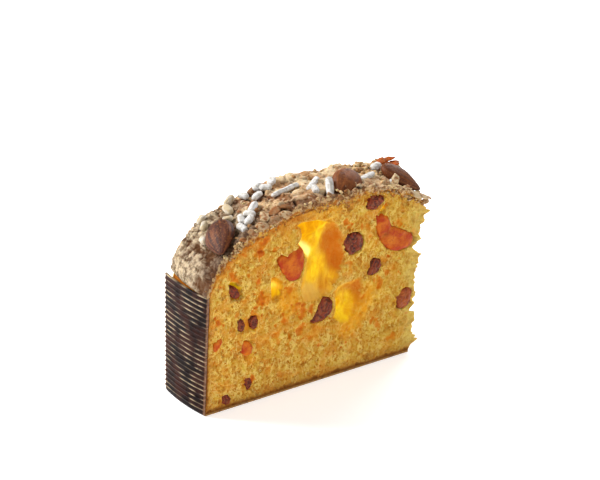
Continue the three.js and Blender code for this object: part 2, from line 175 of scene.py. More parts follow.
def dome_height(x, y, lift):
    """How high the dome is over a place, `lift` above the crumb."""
    across = np.clip(y / half_thickness(DOME_FOOT + DOME_RISE), -1, 1)
    level = np.clip((CREST_X - x) / (CREST_X - dome_foot(across) + 0.55 * lift), 0, 1)
    return DOME_FOOT + (DOME_RISE + lift - dome_sink(x, across)) * np.sqrt(1 - level**2)


def dome_normal(x, y):
    """The way straight out of the glaze."""
    step = 1.5
    slope_x = (dome_height(x + step, y, GLAZE) - dome_height(x - step, y, GLAZE)) / (2 * step)
    slope_y = (dome_height(x, y + step, GLAZE) - dome_height(x, y - step, GLAZE)) / (2 * step)
    return Vector((-slope_x, -slope_y, 1)).normalized()


def crumb_point(u, across, w):
    """A point of the crumb block: u along the cut, w from the table (0) to the dome (1)."""
    foot, rim = case_x(across) + CASE_WALL + GAP, dome_foot(across)
    foot_end = torn_x(across, CRUMB_FLOOR)
    dome_x, dome_z = dome_point(u, across, 0)
    dome_end, end_z = dome_point(np.ones_like(u), across, 0)
    left_x = lerp(foot, rim, smooth((w - 0.8) / 0.2))
    right_x = lerp(torn_x(across, lerp(CRUMB_FLOOR, end_z, w)), dome_end, smooth((w - 0.85) / 0.15))
    left_bow = left_x - lerp(foot, rim, w)
    right_bow = right_x - lerp(foot_end, dome_end, w)
    x = lerp(lerp(foot, foot_end, u), dome_x, w) + lerp(left_bow, right_bow, u)
    z = lerp(CRUMB_FLOOR, dome_z, w)
    return x, across * half_thickness(z), z


print("crest of the crumb at", round(float(dome_height(CREST_X, 0.0, 0.0)), 1), "mm")

# %% [markdown]
# ## Small tools for meshes
#
# A mesh starts as a slab or as a ball, and its corners are then moved as one array, which is quick
# and keeps the sizes in view. `keep` turns it into an object at the origin, with its measures in
# metres, and hangs it on the frame. What a finish needs to know about a place, such as how deep it
# lies in a bubble, is stored with each corner by name.

# %%


def corners_of(bm):
    return np.array([v.co for v in bm.verts], float)


def slab(along, up, layers=1):
    """A flat grid of `along` by `up` cells, made into a slab of one or more layers."""
    bm = bmesh.new()
    bmesh.ops.create_grid(bm, x_segments=along, y_segments=up, size=0.5)
    made = bmesh.ops.extrude_face_region(bm, geom=bm.faces[:])
    far = [part for part in made["geom"] if isinstance(part, bmesh.types.BMVert)]
    bmesh.ops.translate(bm, verts=far, vec=(0, 0, 1))
    if layers > 1:
        rungs = [e for e in bm.edges if abs(e.verts[0].co.z - e.verts[1].co.z) > 0.5]
        bmesh.ops.subdivide_edges(bm, edges=rungs, cuts=layers - 1, use_grid_fill=True)
    return bm


def ball(bm, subdivisions):
    """Adds a ball of radius 1 to bm and returns its corners."""
    first = len(bm.verts)
    bmesh.ops.create_icosphere(bm, subdivisions=subdivisions, radius=1)
    return corners_of(bm)[first:]


def turned(points, matrix):
    return points @ np.array(matrix.to_3x3()).T


def laid(heading, rise):
    """Turns a long thing to its heading, seen from above, and lifts its far end; both in degrees."""
    return Matrix.Rotation(math.radians(heading), 3, "Z") @ Matrix.Rotation(-math.radians(rise), 3, "Y")


def keep(bm, name, corners, nodes, notes):
    """Moves the corners of bm to `corners` (mm in the cut's frame) and makes the object."""
    mesh = bpy.data.meshes.new(name)
    bmesh.ops.recalc_face_normals(bm, faces=bm.faces)
    bm.to_mesh(mesh)
    bm.free()
    placed = (np.asarray(corners) - [MIDDLE_X, 0, 0]) / 1000
    mesh.vertices.foreach_set("co", placed.astype(np.float32).ravel())
    mesh.polygons.foreach_set("use_smooth", [True] * len(mesh.polygons))
    for key, values in notes.items():
        note = mesh.attributes.new(key, "FLOAT", "POINT")
        note.data.foreach_set("value", np.asarray(values, np.float32))
    mesh.update()
    piece = bpy.data.objects.new(name, mesh)
    bpy.context.scene.collection.objects.link(piece)
    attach(piece, "root")
    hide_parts(*nodes)
    print(name, len(mesh.polygons), "faces")
    return piece


# %% [markdown]
# ## Small tools for finishes
#
# Nothing on a cake has one even colour. A finish starts from a ground of one or two tones, and each
# further tone is laid over it as a tint: where a cloudy noise is high, where the corners' notes say
# so, or where both do. Tones are written as they look on a screen.

# %%


def linear(colour):
    """A screen colour such as #D9B45A as the linear values the renderer works in."""
    shares = [int(colour[i:i + 2], 16) / 255 for i in (1, 3, 5)]
    return [s / 12.92 if s <= 0.04045 else ((s + 0.055) / 1.055) ** 2.4 for s in shares] + [1]


class Finish:
    """A material; `body` is its colour so far. A value may be a number, a colour or an output."""

    def __init__(self, name):
        self.material = bpy.data.materials.new(name)
        self.material.use_nodes = True
        self.tree = self.material.node_tree
        self.tree.nodes.clear()
        self.place = self.add("ShaderNodeTexCoord").outputs["Object"]
        self.body = None

    def add(self, kind, options=None, **values):
        node = self.tree.nodes.new(kind)
        for key, value in (options or {}).items():
            setattr(node, key, value)
        for key, value in values.items():
            socket = node.inputs[int(key[1:]) if key[0] == "_" else key.replace("_", " ")]
            if isinstance(value, str):
                socket.default_value = linear(value)
            elif isinstance(value, bpy.types.NodeSocket):
                self.tree.links.new(value, socket)
            else:
                socket.default_value = value
        return node

    def note(self, key):
        return self.add("ShaderNodeAttribute", {"attribute_name": key}).outputs["Fac"]

    def along(self, axis):
        """How far a place lies along x (0) or y (1) from the frame's origin, in metres."""
        return self.add("ShaderNodeSeparateXYZ", None, Vector=self.place).outputs[axis]

    def noise(self, size_mm, detail=3, roughness=0.55, distortion=0.0, squeeze=1.0):
        """Cloudy values round 0.5; a squeeze under 1 draws the clouds out upwards."""
        place = self.place
        if squeeze != 1:
            place = self.add("ShaderNodeMapping", None, Vector=place, Scale=(1, 1, squeeze)).outputs["Vector"]
        node = self.add("ShaderNodeTexNoise", None, Vector=place, Scale=1000 / size_mm,
                        Detail=detail, Roughness=roughness, Distortion=distortion)
        return node.outputs["Fac"]

    def cells(self, size_mm):
        """How far a place lies from the nearest of many scattered points, as a share of size_mm."""
        node = self.add("ShaderNodeTexVoronoi", None, Vector=self.place, Scale=1000 / size_mm)
        return node.outputs["Distance"]

    def range(self, value, low, high, out_low=0.0, out_high=1.0):
        """Runs softly from out_low, where the value is `low`, to out_high, where it is `high`."""
        node = self.add("ShaderNodeMapRange", {"interpolation_type": "SMOOTHSTEP"}, Value=value,
                        From_Min=low, From_Max=high, To_Min=out_low, To_Max=out_high)
        return node.outputs["Result"]

    def maths(self, operation, a, b):
        return self.add("ShaderNodeMath", {"operation": operation}, _0=a, _1=b).outputs[0]

    def times(self, a, b):
        return self.maths("MULTIPLY", a, b)

    def mix(self, share, a, b):
        node = self.add("ShaderNodeMix", {"data_type": "RGBA"}, _0=share)
        for index, value in ((6, a), (7, b)):
            if isinstance(value, str):
                node.inputs[index].default_value = linear(value)
            else:
                self.tree.links.new(value, node.inputs[index])
        return node.outputs[2]

    def tint(self, tone, share, strength=1.0):
        """Lays a tone over the body where the share is high."""
        share = share if strength == 1 else self.times(share, strength)
        self.body = self.mix(share, self.body, tone)

    def bump(self, size_mm, depth_mm, detail=3, roughness=0.55):
        height = self.noise(size_mm, detail, roughness)
        node = self.add("ShaderNodeBump", None, Height=height, Distance=depth_mm / 1000, Strength=1.0)
        return node.outputs["Normal"]

    def surface(self, roughness, shine, soft=0.0, reach=(1, 1, 1), **values):
        """Ends the finish. `soft` is how much light goes in, `reach` how far in mm, by colour."""
        shader = self.add("ShaderNodeBsdfPrincipled", None, Base_Color=self.body, Roughness=roughness,
                          Specular_IOR_Level=shine, Subsurface_Weight=soft, Subsurface_Scale=0.001,
                          Subsurface_Radius=reach, **values)
        self.add("ShaderNodeOutputMaterial", None, Surface=shader.outputs[0])
        print(self.material.name, "in", len(self.tree.nodes), "steps")

    def dress(self, piece):
        piece.data.materials.clear()
        piece.data.materials.append(self.material)


# %% [markdown]
# ## Fruit and bubbles in the cut
#
# The knife went through raisins, peel and gas bubbles alike, and each leaves an outline on the face
# of the cut. The crumb needs the rows below for its beds and hollows, and the fruit needs them for
# itself. Places are x and z on the face.

# %%
# Seen pieces: name, thickness, how far the middle lies behind the face, squareness, and what shows
# of the piece, read round its edge on the face.
RAISINS = [
    ("raisin_under_glaze", 7, 2.7, 0.3, [
        (93.2, 92.4), (94.5, 95), (97, 96.6), (100.8, 96.2), (104, 94.6), (104.9, 93), (102.8, 90.6),
        (99.9, 89), (96.2, 89.4), (93.7, 90.6)]),
    ("raisin_upper", 7.5, 2.9, 0.3, [
        (80.4, 74.8), (81.7, 78.6), (85.5, 79.4), (90, 79), (93, 76), (93.8, 72.9), (92.6, 68.3), (88, 67),
        (84.9, 67.2), (81.5, 71.1)]),
    ("raisin_half_hidden", 6, 2.6, 0.3, [
        (101.9, 61.1), (105, 60.2), (106.2, 56.6), (104.6, 53), (101, 51.6), (97, 53.2), (99, 56.4),
        (99.6, 59.4)]),
    ("raisin_middle", 7, 2.7, 0.3, [
        (67.6, 45.2), (71, 47.6), (74.6, 46.2), (76.9, 41.5), (75.7, 36.6), (71.5, 34.2), (66.5, 34),
        (62.8, 34.5), (65.3, 38.4), (66.8, 41.5)]),
    ("raisin_torn_edge", 7.5, 2.8, 0.3, [
        (121.8, 38.6), (124.8, 39.2), (127.8, 36.4), (127.3, 29.6), (122.6, 26.6), (117.8, 28.6),
        (117.8, 34.5)]),
    ("raisin_small", 4.6, 1.9, 0.3, [
        (12.8, 67.8), (14.5, 67.9), (16.6, 66.6), (18.6, 64.2), (19.2, 62), (17.9, 60.8), (16, 61),
        (14.1, 63), (13, 65.6)]),
    ("raisin_left", 5.5, 2.6, 0.3, [
        (18.8, 48.4), (20.9, 48.8), (22.3, 47), (23.5, 44.3), (23, 41.7), (21.3, 40.9), (19.1, 42.8)]),
    ("raisin_left_twin", 5, 2.4, 0.3, [
        (26.3, 46.6), (27.5, 48.4), (29.8, 48.1), (31.1, 45.2), (30.7, 41.5), (28.8, 40.1), (26.9, 42.4)]),
    ("raisin_low", 5, 2.2, 0.3, [
        (24.9, 14.2), (27.7, 14.1), (28.9, 10.7), (28.3, 7.6), (25.8, 7.2), (24.4, 11)]),
    ("raisin_bottom", 5, 2.2, 0.3, [
        (11.5, 8), (14.7, 8.1), (16.7, 5.5), (16.3, 3), (13.8, 2.2), (11.5, 4.6)]),
]
PEELS = [
    ("peel_large", 8.5, 3.2, 0.4, [
        (40.4, 75.2), (42.8, 78), (46.3, 75.7), (49.1, 77.7), (53.5, 79.4), (55.9, 77.4), (56.6, 72.5),
        (57, 67.5), (54.7, 62), (50.2, 61.4), (47.1, 63.3), (42.9, 69.8)]),
    ("peel_torn_edge", 9.5, 3.7, 0.4, [
        (102.4, 75), (107.1, 78), (111.1, 77), (115.9, 74.4), (120.6, 72.1), (125.2, 69.5), (125.8, 66.2),
        (124, 62.4), (117.1, 61.4), (109.7, 64.2), (104.1, 69.5)]),
    ("peel_small", 6.5, 2.7, 0.4, [
        (22.1, 34.1), (23.4, 35.3), (26.5, 34), (28.2, 31.1), (27.8, 27.5), (24.8, 27.3), (21.8, 29.6)]),
    ("peel_sliver", 5, 1.9, 0.3, [
        (9, 41.4), (10.1, 39.6), (8.4, 36.9), (6.4, 34.4), (5.1, 35.8), (6.3, 39.6)]),
]
# The peel at the torn end is folded, and this is its second arm.
PEEL_ARM = ("peel_arm", 7.5, 3.1, 0.3, [
    (99.8, 85), (104, 85.2), (107.8, 82.9), (109.3, 79.8), (111, 76), (108.6, 69.9), (103.3, 72),
    (101.1, 79)])
# Guessed pieces of the back cut end with x, z, width, height and how the long side turns instead.
BACK_RAISINS = [
    ("raisin_back_1", 6.5, 2.5, 0.3, (34, 78, 10, 7.5, 30)),
    ("raisin_back_2", 6.5, 2.5, 0.3, (92, 60, 9, 11, -20)),
    ("raisin_back_3", 6.5, 2.5, 0.3, (58, 25, 12, 7, 20)),
    ("raisin_back_4", 6, 2.3, 0.3, (108, 22, 7, 8, 0)),
    ("raisin_back_5", 5.5, 2.1, 0.3, (16, 34, 7, 6, 10)),
]
BACK_PEELS = [
    ("peel_back_1", 8, 2.8, 0.4, (72, 80, 13, 11, 25)),
    ("peel_back_2", 7, 2.6, 0.4, (38, 48, 8, 11, -15)),
]
# Big hollows of the front cut: their outline on the face, how deep they go, how wide their slope
# is and how smooth their skin is.
FRONT_HOLLOWS = [
    ([(49.7, 91.4), (52.3, 93.1), (56.4, 93), (63.1, 92.6), (71.5, 90.5), (76.5, 87.1), (79, 81.5),
      (80.6, 75.1), (82.8, 69), (82.4, 64.4), (81.2, 59.8), (79.5, 55), (75.8, 49), (70.2, 46), (63, 45.8),
      (57.5, 47.6), (55, 54.1), (55.8, 63.3), (57.6, 71.3), (55.1, 77.6), (51.9, 80.4), (54.7, 84.5),
      (53.6, 88.8)], 3.2, 6.0, 0.85),
    ([(49.7, 91.4), (54, 92.6), (63.1, 91.9), (70.9, 89.4), (66.7, 84.3), (61.8, 79.4), (59.9, 71.7),
      (57.9, 73), (55.1, 77.6), (51.9, 80.4), (54.7, 84.5), (53.6, 88.8)], 10.5, 4.0, 1.0),
    ([(73, 86), (78, 82), (80.4, 75), (82.6, 69), (81.4, 60), (77, 55), (71.5, 62), (70, 70),
      (71.5, 78)], 5.2, 9.0, 0.9),
    ([(59.5, 70), (66, 75), (69, 66), (70, 58), (64, 52), (59.5, 58)], 4.6, 5.0, 0.9),
    ([(94.4, 51.5), (92.3, 53.7), (87.7, 53), (82.2, 53.1), (78.4, 51.7), (75.4, 48.4), (77.2, 42.1),
      (77.2, 37.2), (75.9, 33.2), (81.7, 28.8), (87.3, 27.9), (91, 31.2), (92.8, 35.9), (95, 40.4),
      (95.8, 46.5)], 5.0, 9.0, 0.75),
    ([(77.5, 45), (84, 48), (86, 40), (84, 33), (78.5, 34)], 7.0, 6.0, 0.9),
    ([(37.4, 66.8), (41.5, 67), (45.4, 62.5), (44.8, 57), (42.5, 52.4), (38.9, 51.8),
      (37.5, 58)], 6.5, 3.0, 1.0),
    ([(100.5, 85.5), (106.5, 92.6), (109.2, 90.3), (105, 84)], 4.5, 2.2, 1.0),
    ([(12, 69.9), (14.5, 70.6), (17.9, 69.2), (21.2, 65.3), (22.1, 60.1), (18.8, 58.6),
      (14.4, 60.3)], 4.2, 2.0, 1.0),
    ([(21.6, 49.2), (30.5, 46.8), (30.9, 38.9), (20.2, 41.9)], 2.0, 2.0, 0.7),
    ([(22.2, 36.9), (27.6, 35.4), (28.2, 22.9), (23.4, 24.3)], 3.0, 2.5, 0.7),
]
# Warm spots that are seen on the face: x and z.
WARM_PLACES = [
    (81.1, 86.3), (91.5, 81.4), (62.7, 43.9), (57.4, 43.2), (106.3, 22), (114.7, 78.2), (96.8, 74.9),
    (95.1, 80.8), (27.2, 81.9), (15.1, 72.9), (18.3, 51.1), (28.8, 46.2), (35.7, 93.1), (7.5, 50),
    (32.7, 56.1), (29.8, 67.1), (24, 89.5), (26.8, 90.5), (29.5, 92), (22, 88), (47, 40.5), (54, 46),
    (106, 47), (110, 51), (33, 88), (50, 57), (57, 33)
]
BACK_HOLLOWS = [
    ([(49, 89), (55, 92), (61, 89), (60, 83), (54, 81), (49, 84)], 6.0, 4.0, 0.9),
    ([(79, 34), (80, 46), (86, 51), (89, 42), (86, 33)], 6.0, 4.0, 0.9),
    ([(106, 69), (107, 79), (112, 80), (114, 72), (110, 68)], 5.0, 3.5, 0.9),
    ([(46, 56), (49, 69), (54, 67), (53, 57)], 4.5, 3.0, 0.8),
    ([(21, 54), (23, 62), (27, 61), (26, 54)], 3.5, 2.5, 0.8),
]
print("front cut:", len(RAISINS), "raisins,", len(PEELS), "pieces of peel,", len(FRONT_HOLLOWS), "hollows")

# %% [markdown]
# ## A map of how deep the crumb lies behind the cut
#
# A knife opens every gas bubble it meets. Real crumb is a foam with bubbles of every size, so the
# map starts flat and each bubble presses its own round or stretched cap into it; where two caps
# meet, a thin wall is left standing. A map is quick to fill, and the block's corners are then
# simply pushed in by what they read from it. One cell is a quarter of a millimetre.

# %%
CELL = 0.25
MAP_X, MAP_Z = np.arange(-3, 145, CELL), np.arange(-3, 112, CELL)
WARM_SPOTS, LARGE_WARM_SPOTS = 44, 22


def read_map(field, x, z):
    """What a map says at places on the face, also between its cells."""
    column = np.clip((x - MAP_X[0]) / CELL, 0, len(MAP_X) - 1.001)
    row = np.clip((z - MAP_Z[0]) / CELL, 0, len(MAP_Z) - 1.001)
    i, j = column.astype(int), row.astype(int)
    a, b = column - i, row - j
    return lerp(lerp(field[j, i], field[j, i + 1], a), lerp(field[j + 1, i], field[j + 1, i + 1], a), b)


def window(x, z, reach):
    """The rows and columns of a map that lie within reach of a place."""
    columns = slice(*np.searchsorted(MAP_X, [x - reach, x + reach]))
    rows = slice(*np.searchsorted(MAP_Z, [z - reach, z + reach]))
    return rows, columns


def press(field, x, z, wide, high, turn, deep, square, round_off, ragged):
    """Presses one cap into a map: wide and high are its full widths, turn is in degrees."""
    rows, columns = window(x, z, 0.8 * max(wide, high))
    dx, dz = np.meshgrid(MAP_X[columns] - x, MAP_Z[rows] - z)
    c, s = math.cos(math.radians(turn)), math.sin(math.radians(turn))
    power = 2 + 6 * square
    across, along = abs(c * dx + s * dz) / (wide / 2), abs(-s * dx + c * dz) / (high / 2)
    out = across**power + along**power
    wavy = unevenness((x + dx) / 1.5, 4, (z + dz) / 1.5) + unevenness((x + dx) / 3, 9, (z + dz) / 3)
    out *= 1 + ragged * wavy
    cap = deep * np.clip(1 - out, 0, 1) ** round_off
    field[rows, columns] = np.maximum(field[rows, columns], cap)


def inside_distance(outline):
    """How far each cell of the map lies inside an outline, in mm; 0 outside it."""
    points = np.array(outline, float)
    gx, gz = np.meshgrid(MAP_X, MAP_Z)
    inside = np.zeros(gx.shape, bool)
    nearest = np.full(gx.shape, 1e9)
    for (ax, az), (bx, bz) in zip(points, np.roll(points, -1, axis=0)):
        crosses = ((az > gz) != (bz > gz)) & (gx < (bx - ax) * (gz - az) / (bz - az + 1e-9) + ax)
        inside ^= crosses
        share = ((gx - ax) * (bx - ax) + (gz - az) * (bz - az)) / ((bx - ax) ** 2 + (bz - az) ** 2)
        share = np.clip(share, 0, 1)
        nearest = np.minimum(nearest, np.hypot(gx - ax - share * (bx - ax), gz - az - share * (bz - az)))
    return np.where(inside, nearest, 0)


def foam_map(seed, hollows, things):
    """Maps of the fine foam, the big hollows, the share of smooth lining and the beds of the fruit."""
    draw = np.random.default_rng(seed)
    gx, gz = np.meshgrid(MAP_X, MAP_Z)
    # Bending the places first keeps the pores from lining up.
    bent_x = gx + unevenness(gx / 2.4, seed, gz / 2.4)
    bent_z = gz + unevenness(gx / 2.4, seed + 5, gz / 2.4)
    fine = 0.4 * np.clip(roughness_of(bent_x / 1.3, seed, bent_z / 1.6, 2) + 0.2, 0, 1.2)
    coarse = 0.3 * np.clip(roughness_of(bent_x / 3.2, seed + 3, bent_z / 4.6, 2) - 0.1, 0, 1.2)
    # Among the fine foam lie single open bubbles, stretched upwards.
    for spacing, small, large, share, flat in ((3.4, 1.2, 2.8, 0.62, 0.34), (9.0, 2.8, 5.0, 0.42, 0.26)):
        for x in np.arange(0, 140, spacing):
            for z in np.arange(0, 104, spacing):
                if draw.random() > share:
                    continue
                px, pz = x + draw.uniform(-0.5, 0.5) * spacing, z + draw.uniform(-0.5, 0.5) * spacing
                wide = draw.uniform(small, large)
                lean = -14 * np.exp(-(((px - 75) / 30) ** 2)) + draw.normal(0, 18)
                high = wide * lerp(0.8, draw.uniform(1, 1.9), min(1, pz / 20))
                press(coarse, px, pz, wide, high, lean, wide * flat * draw.uniform(0.6, 1.2), 0, 0.9, 0.8)
    # Thin walls let warm light through, and some pores hold a crumb of peel: both look orange.
    warm = np.zeros_like(fine)
    glowing = [(*place, draw.uniform(2.2, 4.2), draw.uniform(0.45, 0.8)) for place in WARM_PLACES]
    for number in range(WARM_SPOTS):
        large = number < LARGE_WARM_SPOTS
        size = draw.uniform(2.0, 3.8) if large else draw.uniform(0.9, 1.8)
        place = draw.uniform(8, 126), draw.uniform(4, 92)
        glowing.append((*place, size, draw.uniform(0.3, 0.5) if large else draw.uniform(0.5, 1)))
    for px, pz, wide, share in glowing:
        high, lean = wide * draw.uniform(1, 1.7), draw.normal(0, 25)
        press(coarse, px, pz, wide, high, lean, 0.15 * wide, 0, 0.9, 0.9)
        press(warm, px, pz, 1.5 * wide, 1.5 * high, lean, share, 0, 1.0, 0.9)
    lining, big, beds = np.zeros_like(fine), np.zeros_like(fine), np.zeros_like(fine)
    frayed = 0.8 * roughness_of(gx / 1.6, 7, gz / 1.6, 2) + 0.6 * roughness_of(gx / 5, 4, gz / 5, 2)
    frayed = np.clip(frayed, 0, 1.4)
    for outline, deep, slope, skin in hollows:
        inner = inside_distance(outline)
        big = np.maximum(big, deep * smooth(inner / slope) ** 0.75)
        lining = np.maximum(lining, skin * smooth((inner - frayed) / (0.25 * slope + 0.4)))
    ragged = 0.5 * np.clip(roughness_of(gx / 1.4, 2, gz / 1.4, 2), 0, 1)
    for _, thick, sunk, square, outline in things:
        if isinstance(outline, list):
            inner = np.clip(inside_distance(outline) - ragged, 0, 1)
            beds = np.maximum(beds, (sunk + thick / 2) * inner**0.3)
            continue
        x, z, wide, high, turn = outline
        power = 2 + 6 * square
        shows = 0.98 * (1 - (2 * sunk / thick) ** power) ** (1 / power)
        press(beds, x, z, wide * shows, high * shows, turn, sunk + thick / 2, square, 0.3, 0.3)
    return fine, coarse, warm, big, lining, beds


front_maps = foam_map(5, FRONT_HOLLOWS, [*RAISINS, *PEELS, PEEL_ARM])
back_maps = foam_map(8, BACK_HOLLOWS, [*BACK_RAISINS, *BACK_PEELS])
print("mean depth of the fine bubbles:", round(float(front_maps[0].mean()), 2), "mm")

# %% [markdown]
# ## The crumb
#
# A slab is drawn as a fine grid, divided across and bent into the slice's outline. Then both cuts
# are pressed in by their maps. The torn end has no flat cut, so its corners are pulled out into
# tufts. Real crumb also has thin brown crusts where it met the paper and the glaze; they are only a
# colour, so each corner notes how far it is from those edges. The pores are drawn coarser than real
# ones: the finest in a real crumb are a few tenths of a millimetre wide.

# %%
ALONG, UP, ACROSS = 300, 225, 28
THINNER_GLAZE = 2.3


def thin_front(x, across):
    """How much thinner the glaze is at the front cut, right of the middle, in mm; the crumb fills it."""
    return THINNER_GLAZE * smooth((x - 86) / 12) * smooth((-across - 0.35) / 0.5)


bm = slab(ALONG, UP, ACROSS)
grid = corners_of(bm)
u, w = grid[:, 0] + 0.5, grid[:, 1] + 0.5
across = 2 * grid[:, 2] ** 1.6 - 1
x, y, z = crumb_point(u, across, w)
z += thin_front(x, across) * w**6

# The distance from each of the cut's four edges, in mm.
from_left = u * (CUT_LENGTH - 2)
from_right = (1 - u) * CUT_LENGTH
from_floor = z - CRUMB_FLOOR
dome_here = crumb_point(u, across, np.ones_like(w))
from_dome = np.hypot(dome_here[0] - x, dome_here[2] + thin_front(dome_here[0], across) - z)
from_edge = np.minimum.reduce([from_left, from_right, from_floor, from_dome])

# The skin of the hollows differs from place to place: x, z, reach and strength. Light from behind
# comes through where it is thinnest, so there the skin is painted bright yellow with a painted glow of
# its own, palest and brightest at a few spots; it is amber where it is thick, and pale where it turns to
# crumb. Round the hollows the crumb itself is thin, and the light coming through it is painted on as
# an orange tint.
PLACES = {
    "glow_spot": [
        (60.8, 74, 2.9, 1.0), (59, 77.5, 2.6, 0.6), (42, 60, 3.0, 0.5), (17, 69, 2, 0.35),
        (103, 87.3, 1.8, 0.4), (84, 36, 3.5, 0.12)],
    "thin": [
        (54.5, 90, 4, 0.9), (63, 83, 6, 1.0), (66, 88, 4.5, 0.9), (59, 82, 5, 1.0), (60.5, 75, 5, 1.0),
        (67, 64.5, 6, 0.8), (76, 58, 4, 0.6), (63.5, 59, 4.5, 0.5), (69, 69, 3.5, 0.3), (84, 39, 6.5, 0.9),
        (83, 33, 5, 0.7), (88, 41, 5, 0.4), (88.5, 30, 5, 0.5), (43, 57.5, 5, 1.1), (17, 68.5, 3.4, 1.2),
        (20, 66, 2.4, 0.9), (103.6, 87.4, 3, 1.2), (25.4, 31, 1.5, 0.3)],
    "amber": [
        (75.5, 67, 4.5, 0.8), (80, 66, 6, 1.0), (79.8, 60, 4.5, 0.8), (79, 73, 5, 0.7),
        (73.5, 86.8, 3, 0.6), (77.5, 80, 5, 0.8), (77, 72, 4, 0.6), (71.5, 80, 3.6, 0.7),
        (69.5, 75, 3, 0.5), (75, 74, 5, 0.6), (93, 45.5, 6, 0.9), (95.5, 40.5, 5, 1.0), (95, 49, 4, 0.8),
        (94, 34, 4, 0.5), (25.2, 35, 4, 0.9), (107.5, 89, 3.6, 0.9), (21.3, 61.5, 2.6, 1.0),
        (26, 45, 4, 0.8), (25, 27, 4, 0.7)],
    "pale": [
        (62, 85.5, 3, 1.0), (61.5, 53.5, 5, 0.9), (60, 50, 4, 0.8), (66, 59, 3, 0.4), (67, 49, 4, 0.7),
        (73, 50, 3, 0.4)],
    "painted_backlight": [
        (92, 32, 8, 0.8), (86, 26, 6, 0.6), (98, 39, 6, 0.5), (47, 55, 8, 0.5), (50, 47, 8, 0.5),
        (34, 58, 7, 0.35), (72, 94, 8, 0.5), (60, 97, 6, 0.5), (99, 70, 6, 0.4), (84, 60, 5, 0.35),
        (100, 48, 6, 0.4), (66, 30, 9, 0.35), (45, 86, 6, 0.4), (28, 42, 7, 0.4), (26, 24, 6, 0.4),
        (40, 30, 8, 0.3), (108, 40, 7, 0.3)],
}


def places(rows):
    """How strongly the rows' places reach each corner of the front cut."""
    near = sum(s * np.exp(-((x - a) ** 2 + (z - b) ** 2) / r**2) for a, b, r, s in rows)
    return near * (across < -0.99)


pores, lining, warmth = np.zeros_like(x), np.zeros_like(x), np.zeros_like(x)
for side, maps in ((-1, front_maps), (1, back_maps)):
    fine, coarse, warm, big, lined, beds = maps
    on_cut = abs(across - side) < 1e-3
    px, pz = x[on_cut], z[on_cut]
    hollow, smooth_skin = read_map(big, px, pz), read_map(lined, px, pz)
    small = read_map(fine, px, pz)
    foam = (small + read_map(coarse, px, pz)) * (1 - 0.97 * smooth_skin)
    waves = 0.3 * (unevenness(px / 6, 3 * side, pz / 6) + 0.7 * unevenness(px / 3.5, 2 * side, pz / 4.5))
    grain = 0.07 * roughness_of(px / 0.9, 3.0 * side, pz / 1.1) * (1 - smooth_skin)
    # Strands of dough run down the smooth skin of the big hollows, leaning as the crumb rose.
    lean_x, lean_z = px + 0.35 * pz, pz - 0.35 * px
    strands = 1.1 * roughness_of(lean_x / 4.5, 1, lean_z / 18, 2) * smooth(hollow / 3.5)
    pushed = np.maximum(hollow - strands, read_map(beds, px, pz)) + foam - waves * (1 - smooth_skin) + grain
    pushed *= smooth(from_edge[on_cut])
    y[on_cut] -= side * pushed
    pores[on_cut], lining[on_cut] = 1.9 * foam, smooth_skin
    warmth[on_cut] = read_map(warm, px, pz) * (1 - smooth_skin)

# The torn end: pits and tufts, drawn out into points where the crumb gave way.
TUFTS, FRONT_TUFTS = 170, 0.45
draw = np.random.default_rng(21)
ripped = smooth((u - 0.985) / 0.015)
tear = 0.9 * roughness_of(3, y / 3.5, z / 3.5, 3) + 0.6 * roughness_of(8, y / 1.2, z / 1.2, 2)
for _ in range(TUFTS):
    ty, tz = draw.uniform(-18, 18), draw.uniform(4, 90)
    if draw.random() < FRONT_TUFTS:
        ty = -float(half_thickness(tz)) + draw.uniform(-0.2, 1.2)
    reach, long = draw.uniform(0.9, 2.2), draw.uniform(0.7, 2.0)
    away = np.hypot(y - ty, z - tz) / reach
    tear = tear + long * np.clip(1 - away, 0, 1) ** 1.2
x += tear * ripped * smooth(from_dome / 2) * smooth(from_floor / 1.5)
# On the torn end the pits take the pores' painted shade and the tufts are left paler.
pores = np.where(u > 0.999, np.clip(0.9 - 0.6 * tear, 0, 1.5), pores)

notes = {
    "pores": pores, "lining": lining, "warmth": warmth,
    **{key: places(rows) for key, rows in PLACES.items()},
    "torn": smooth(1 - from_right / 9),
    "crust_left": from_left, "crust_floor": from_floor, "crust_dome": from_dome,
}
crumb = keep(bm, "crumb_open", np.column_stack([x, y, z]), ["crumb"], notes)

# %% [markdown]
# The grid is much finer than the back and the crusts need. A decimation thins it there and leaves
# the front cut alone.

# %%
KEPT_SHARE = 0.58
weights = crumb.vertex_groups.new(name="thin_out")
seen_close = (abs(across + 1) < 0.04) | (u > 0.985)
weights.add([int(i) for i in np.flatnonzero(~seen_close)], 1.0, "REPLACE")
thin = crumb.modifiers.new("thin out", "DECIMATE")
thin.ratio = KEPT_SHARE
thin.vertex_group = "thin_out"
thin.vertex_group_factor = 2.0
evaluated = crumb.evaluated_get(bpy.context.evaluated_depsgraph_get())
thinned = bpy.data.meshes.new_from_object(evaluated)
crumb.modifiers.clear()
crumb.data = thinned
crumb.vertex_groups.clear()
print("crumb thinned to", sum(len(p.vertices) - 2 for p in thinned.polygons), "triangles")

# %% [markdown]
# ## The colours of the crumb
#
# Egg and butter make the dough yellow. It is pale where it stands up and darker and browner in the
# pores, which is painted shade, warm where it is thin, which is painted light from behind, and brown
# in a thin crust round its edges. The skin of the big hollows is smooth and lets light through from
# behind; bright yellow paint and a glow of its own, faint except at a few spots, stand in for that light.

# %%
f = Finish("sponge crumb, butter and egg yellow")
# Painted shade: the deeper a place lies in a pore, the darker and browner it is painted.
pore_shade = f.range(f.maths("ADD", f.note("pores"), f.times(f.noise(1.0, 3, 0.7), 0.6)), 0.35, 1.4)
patches = f.range(f.noise(9), 0.38, 0.62)
f.body = f.mix(pore_shade, f.mix(patches, "#B68C2A", "#C6A440"), f.mix(patches, "#AC6C16", "#B4801C"))
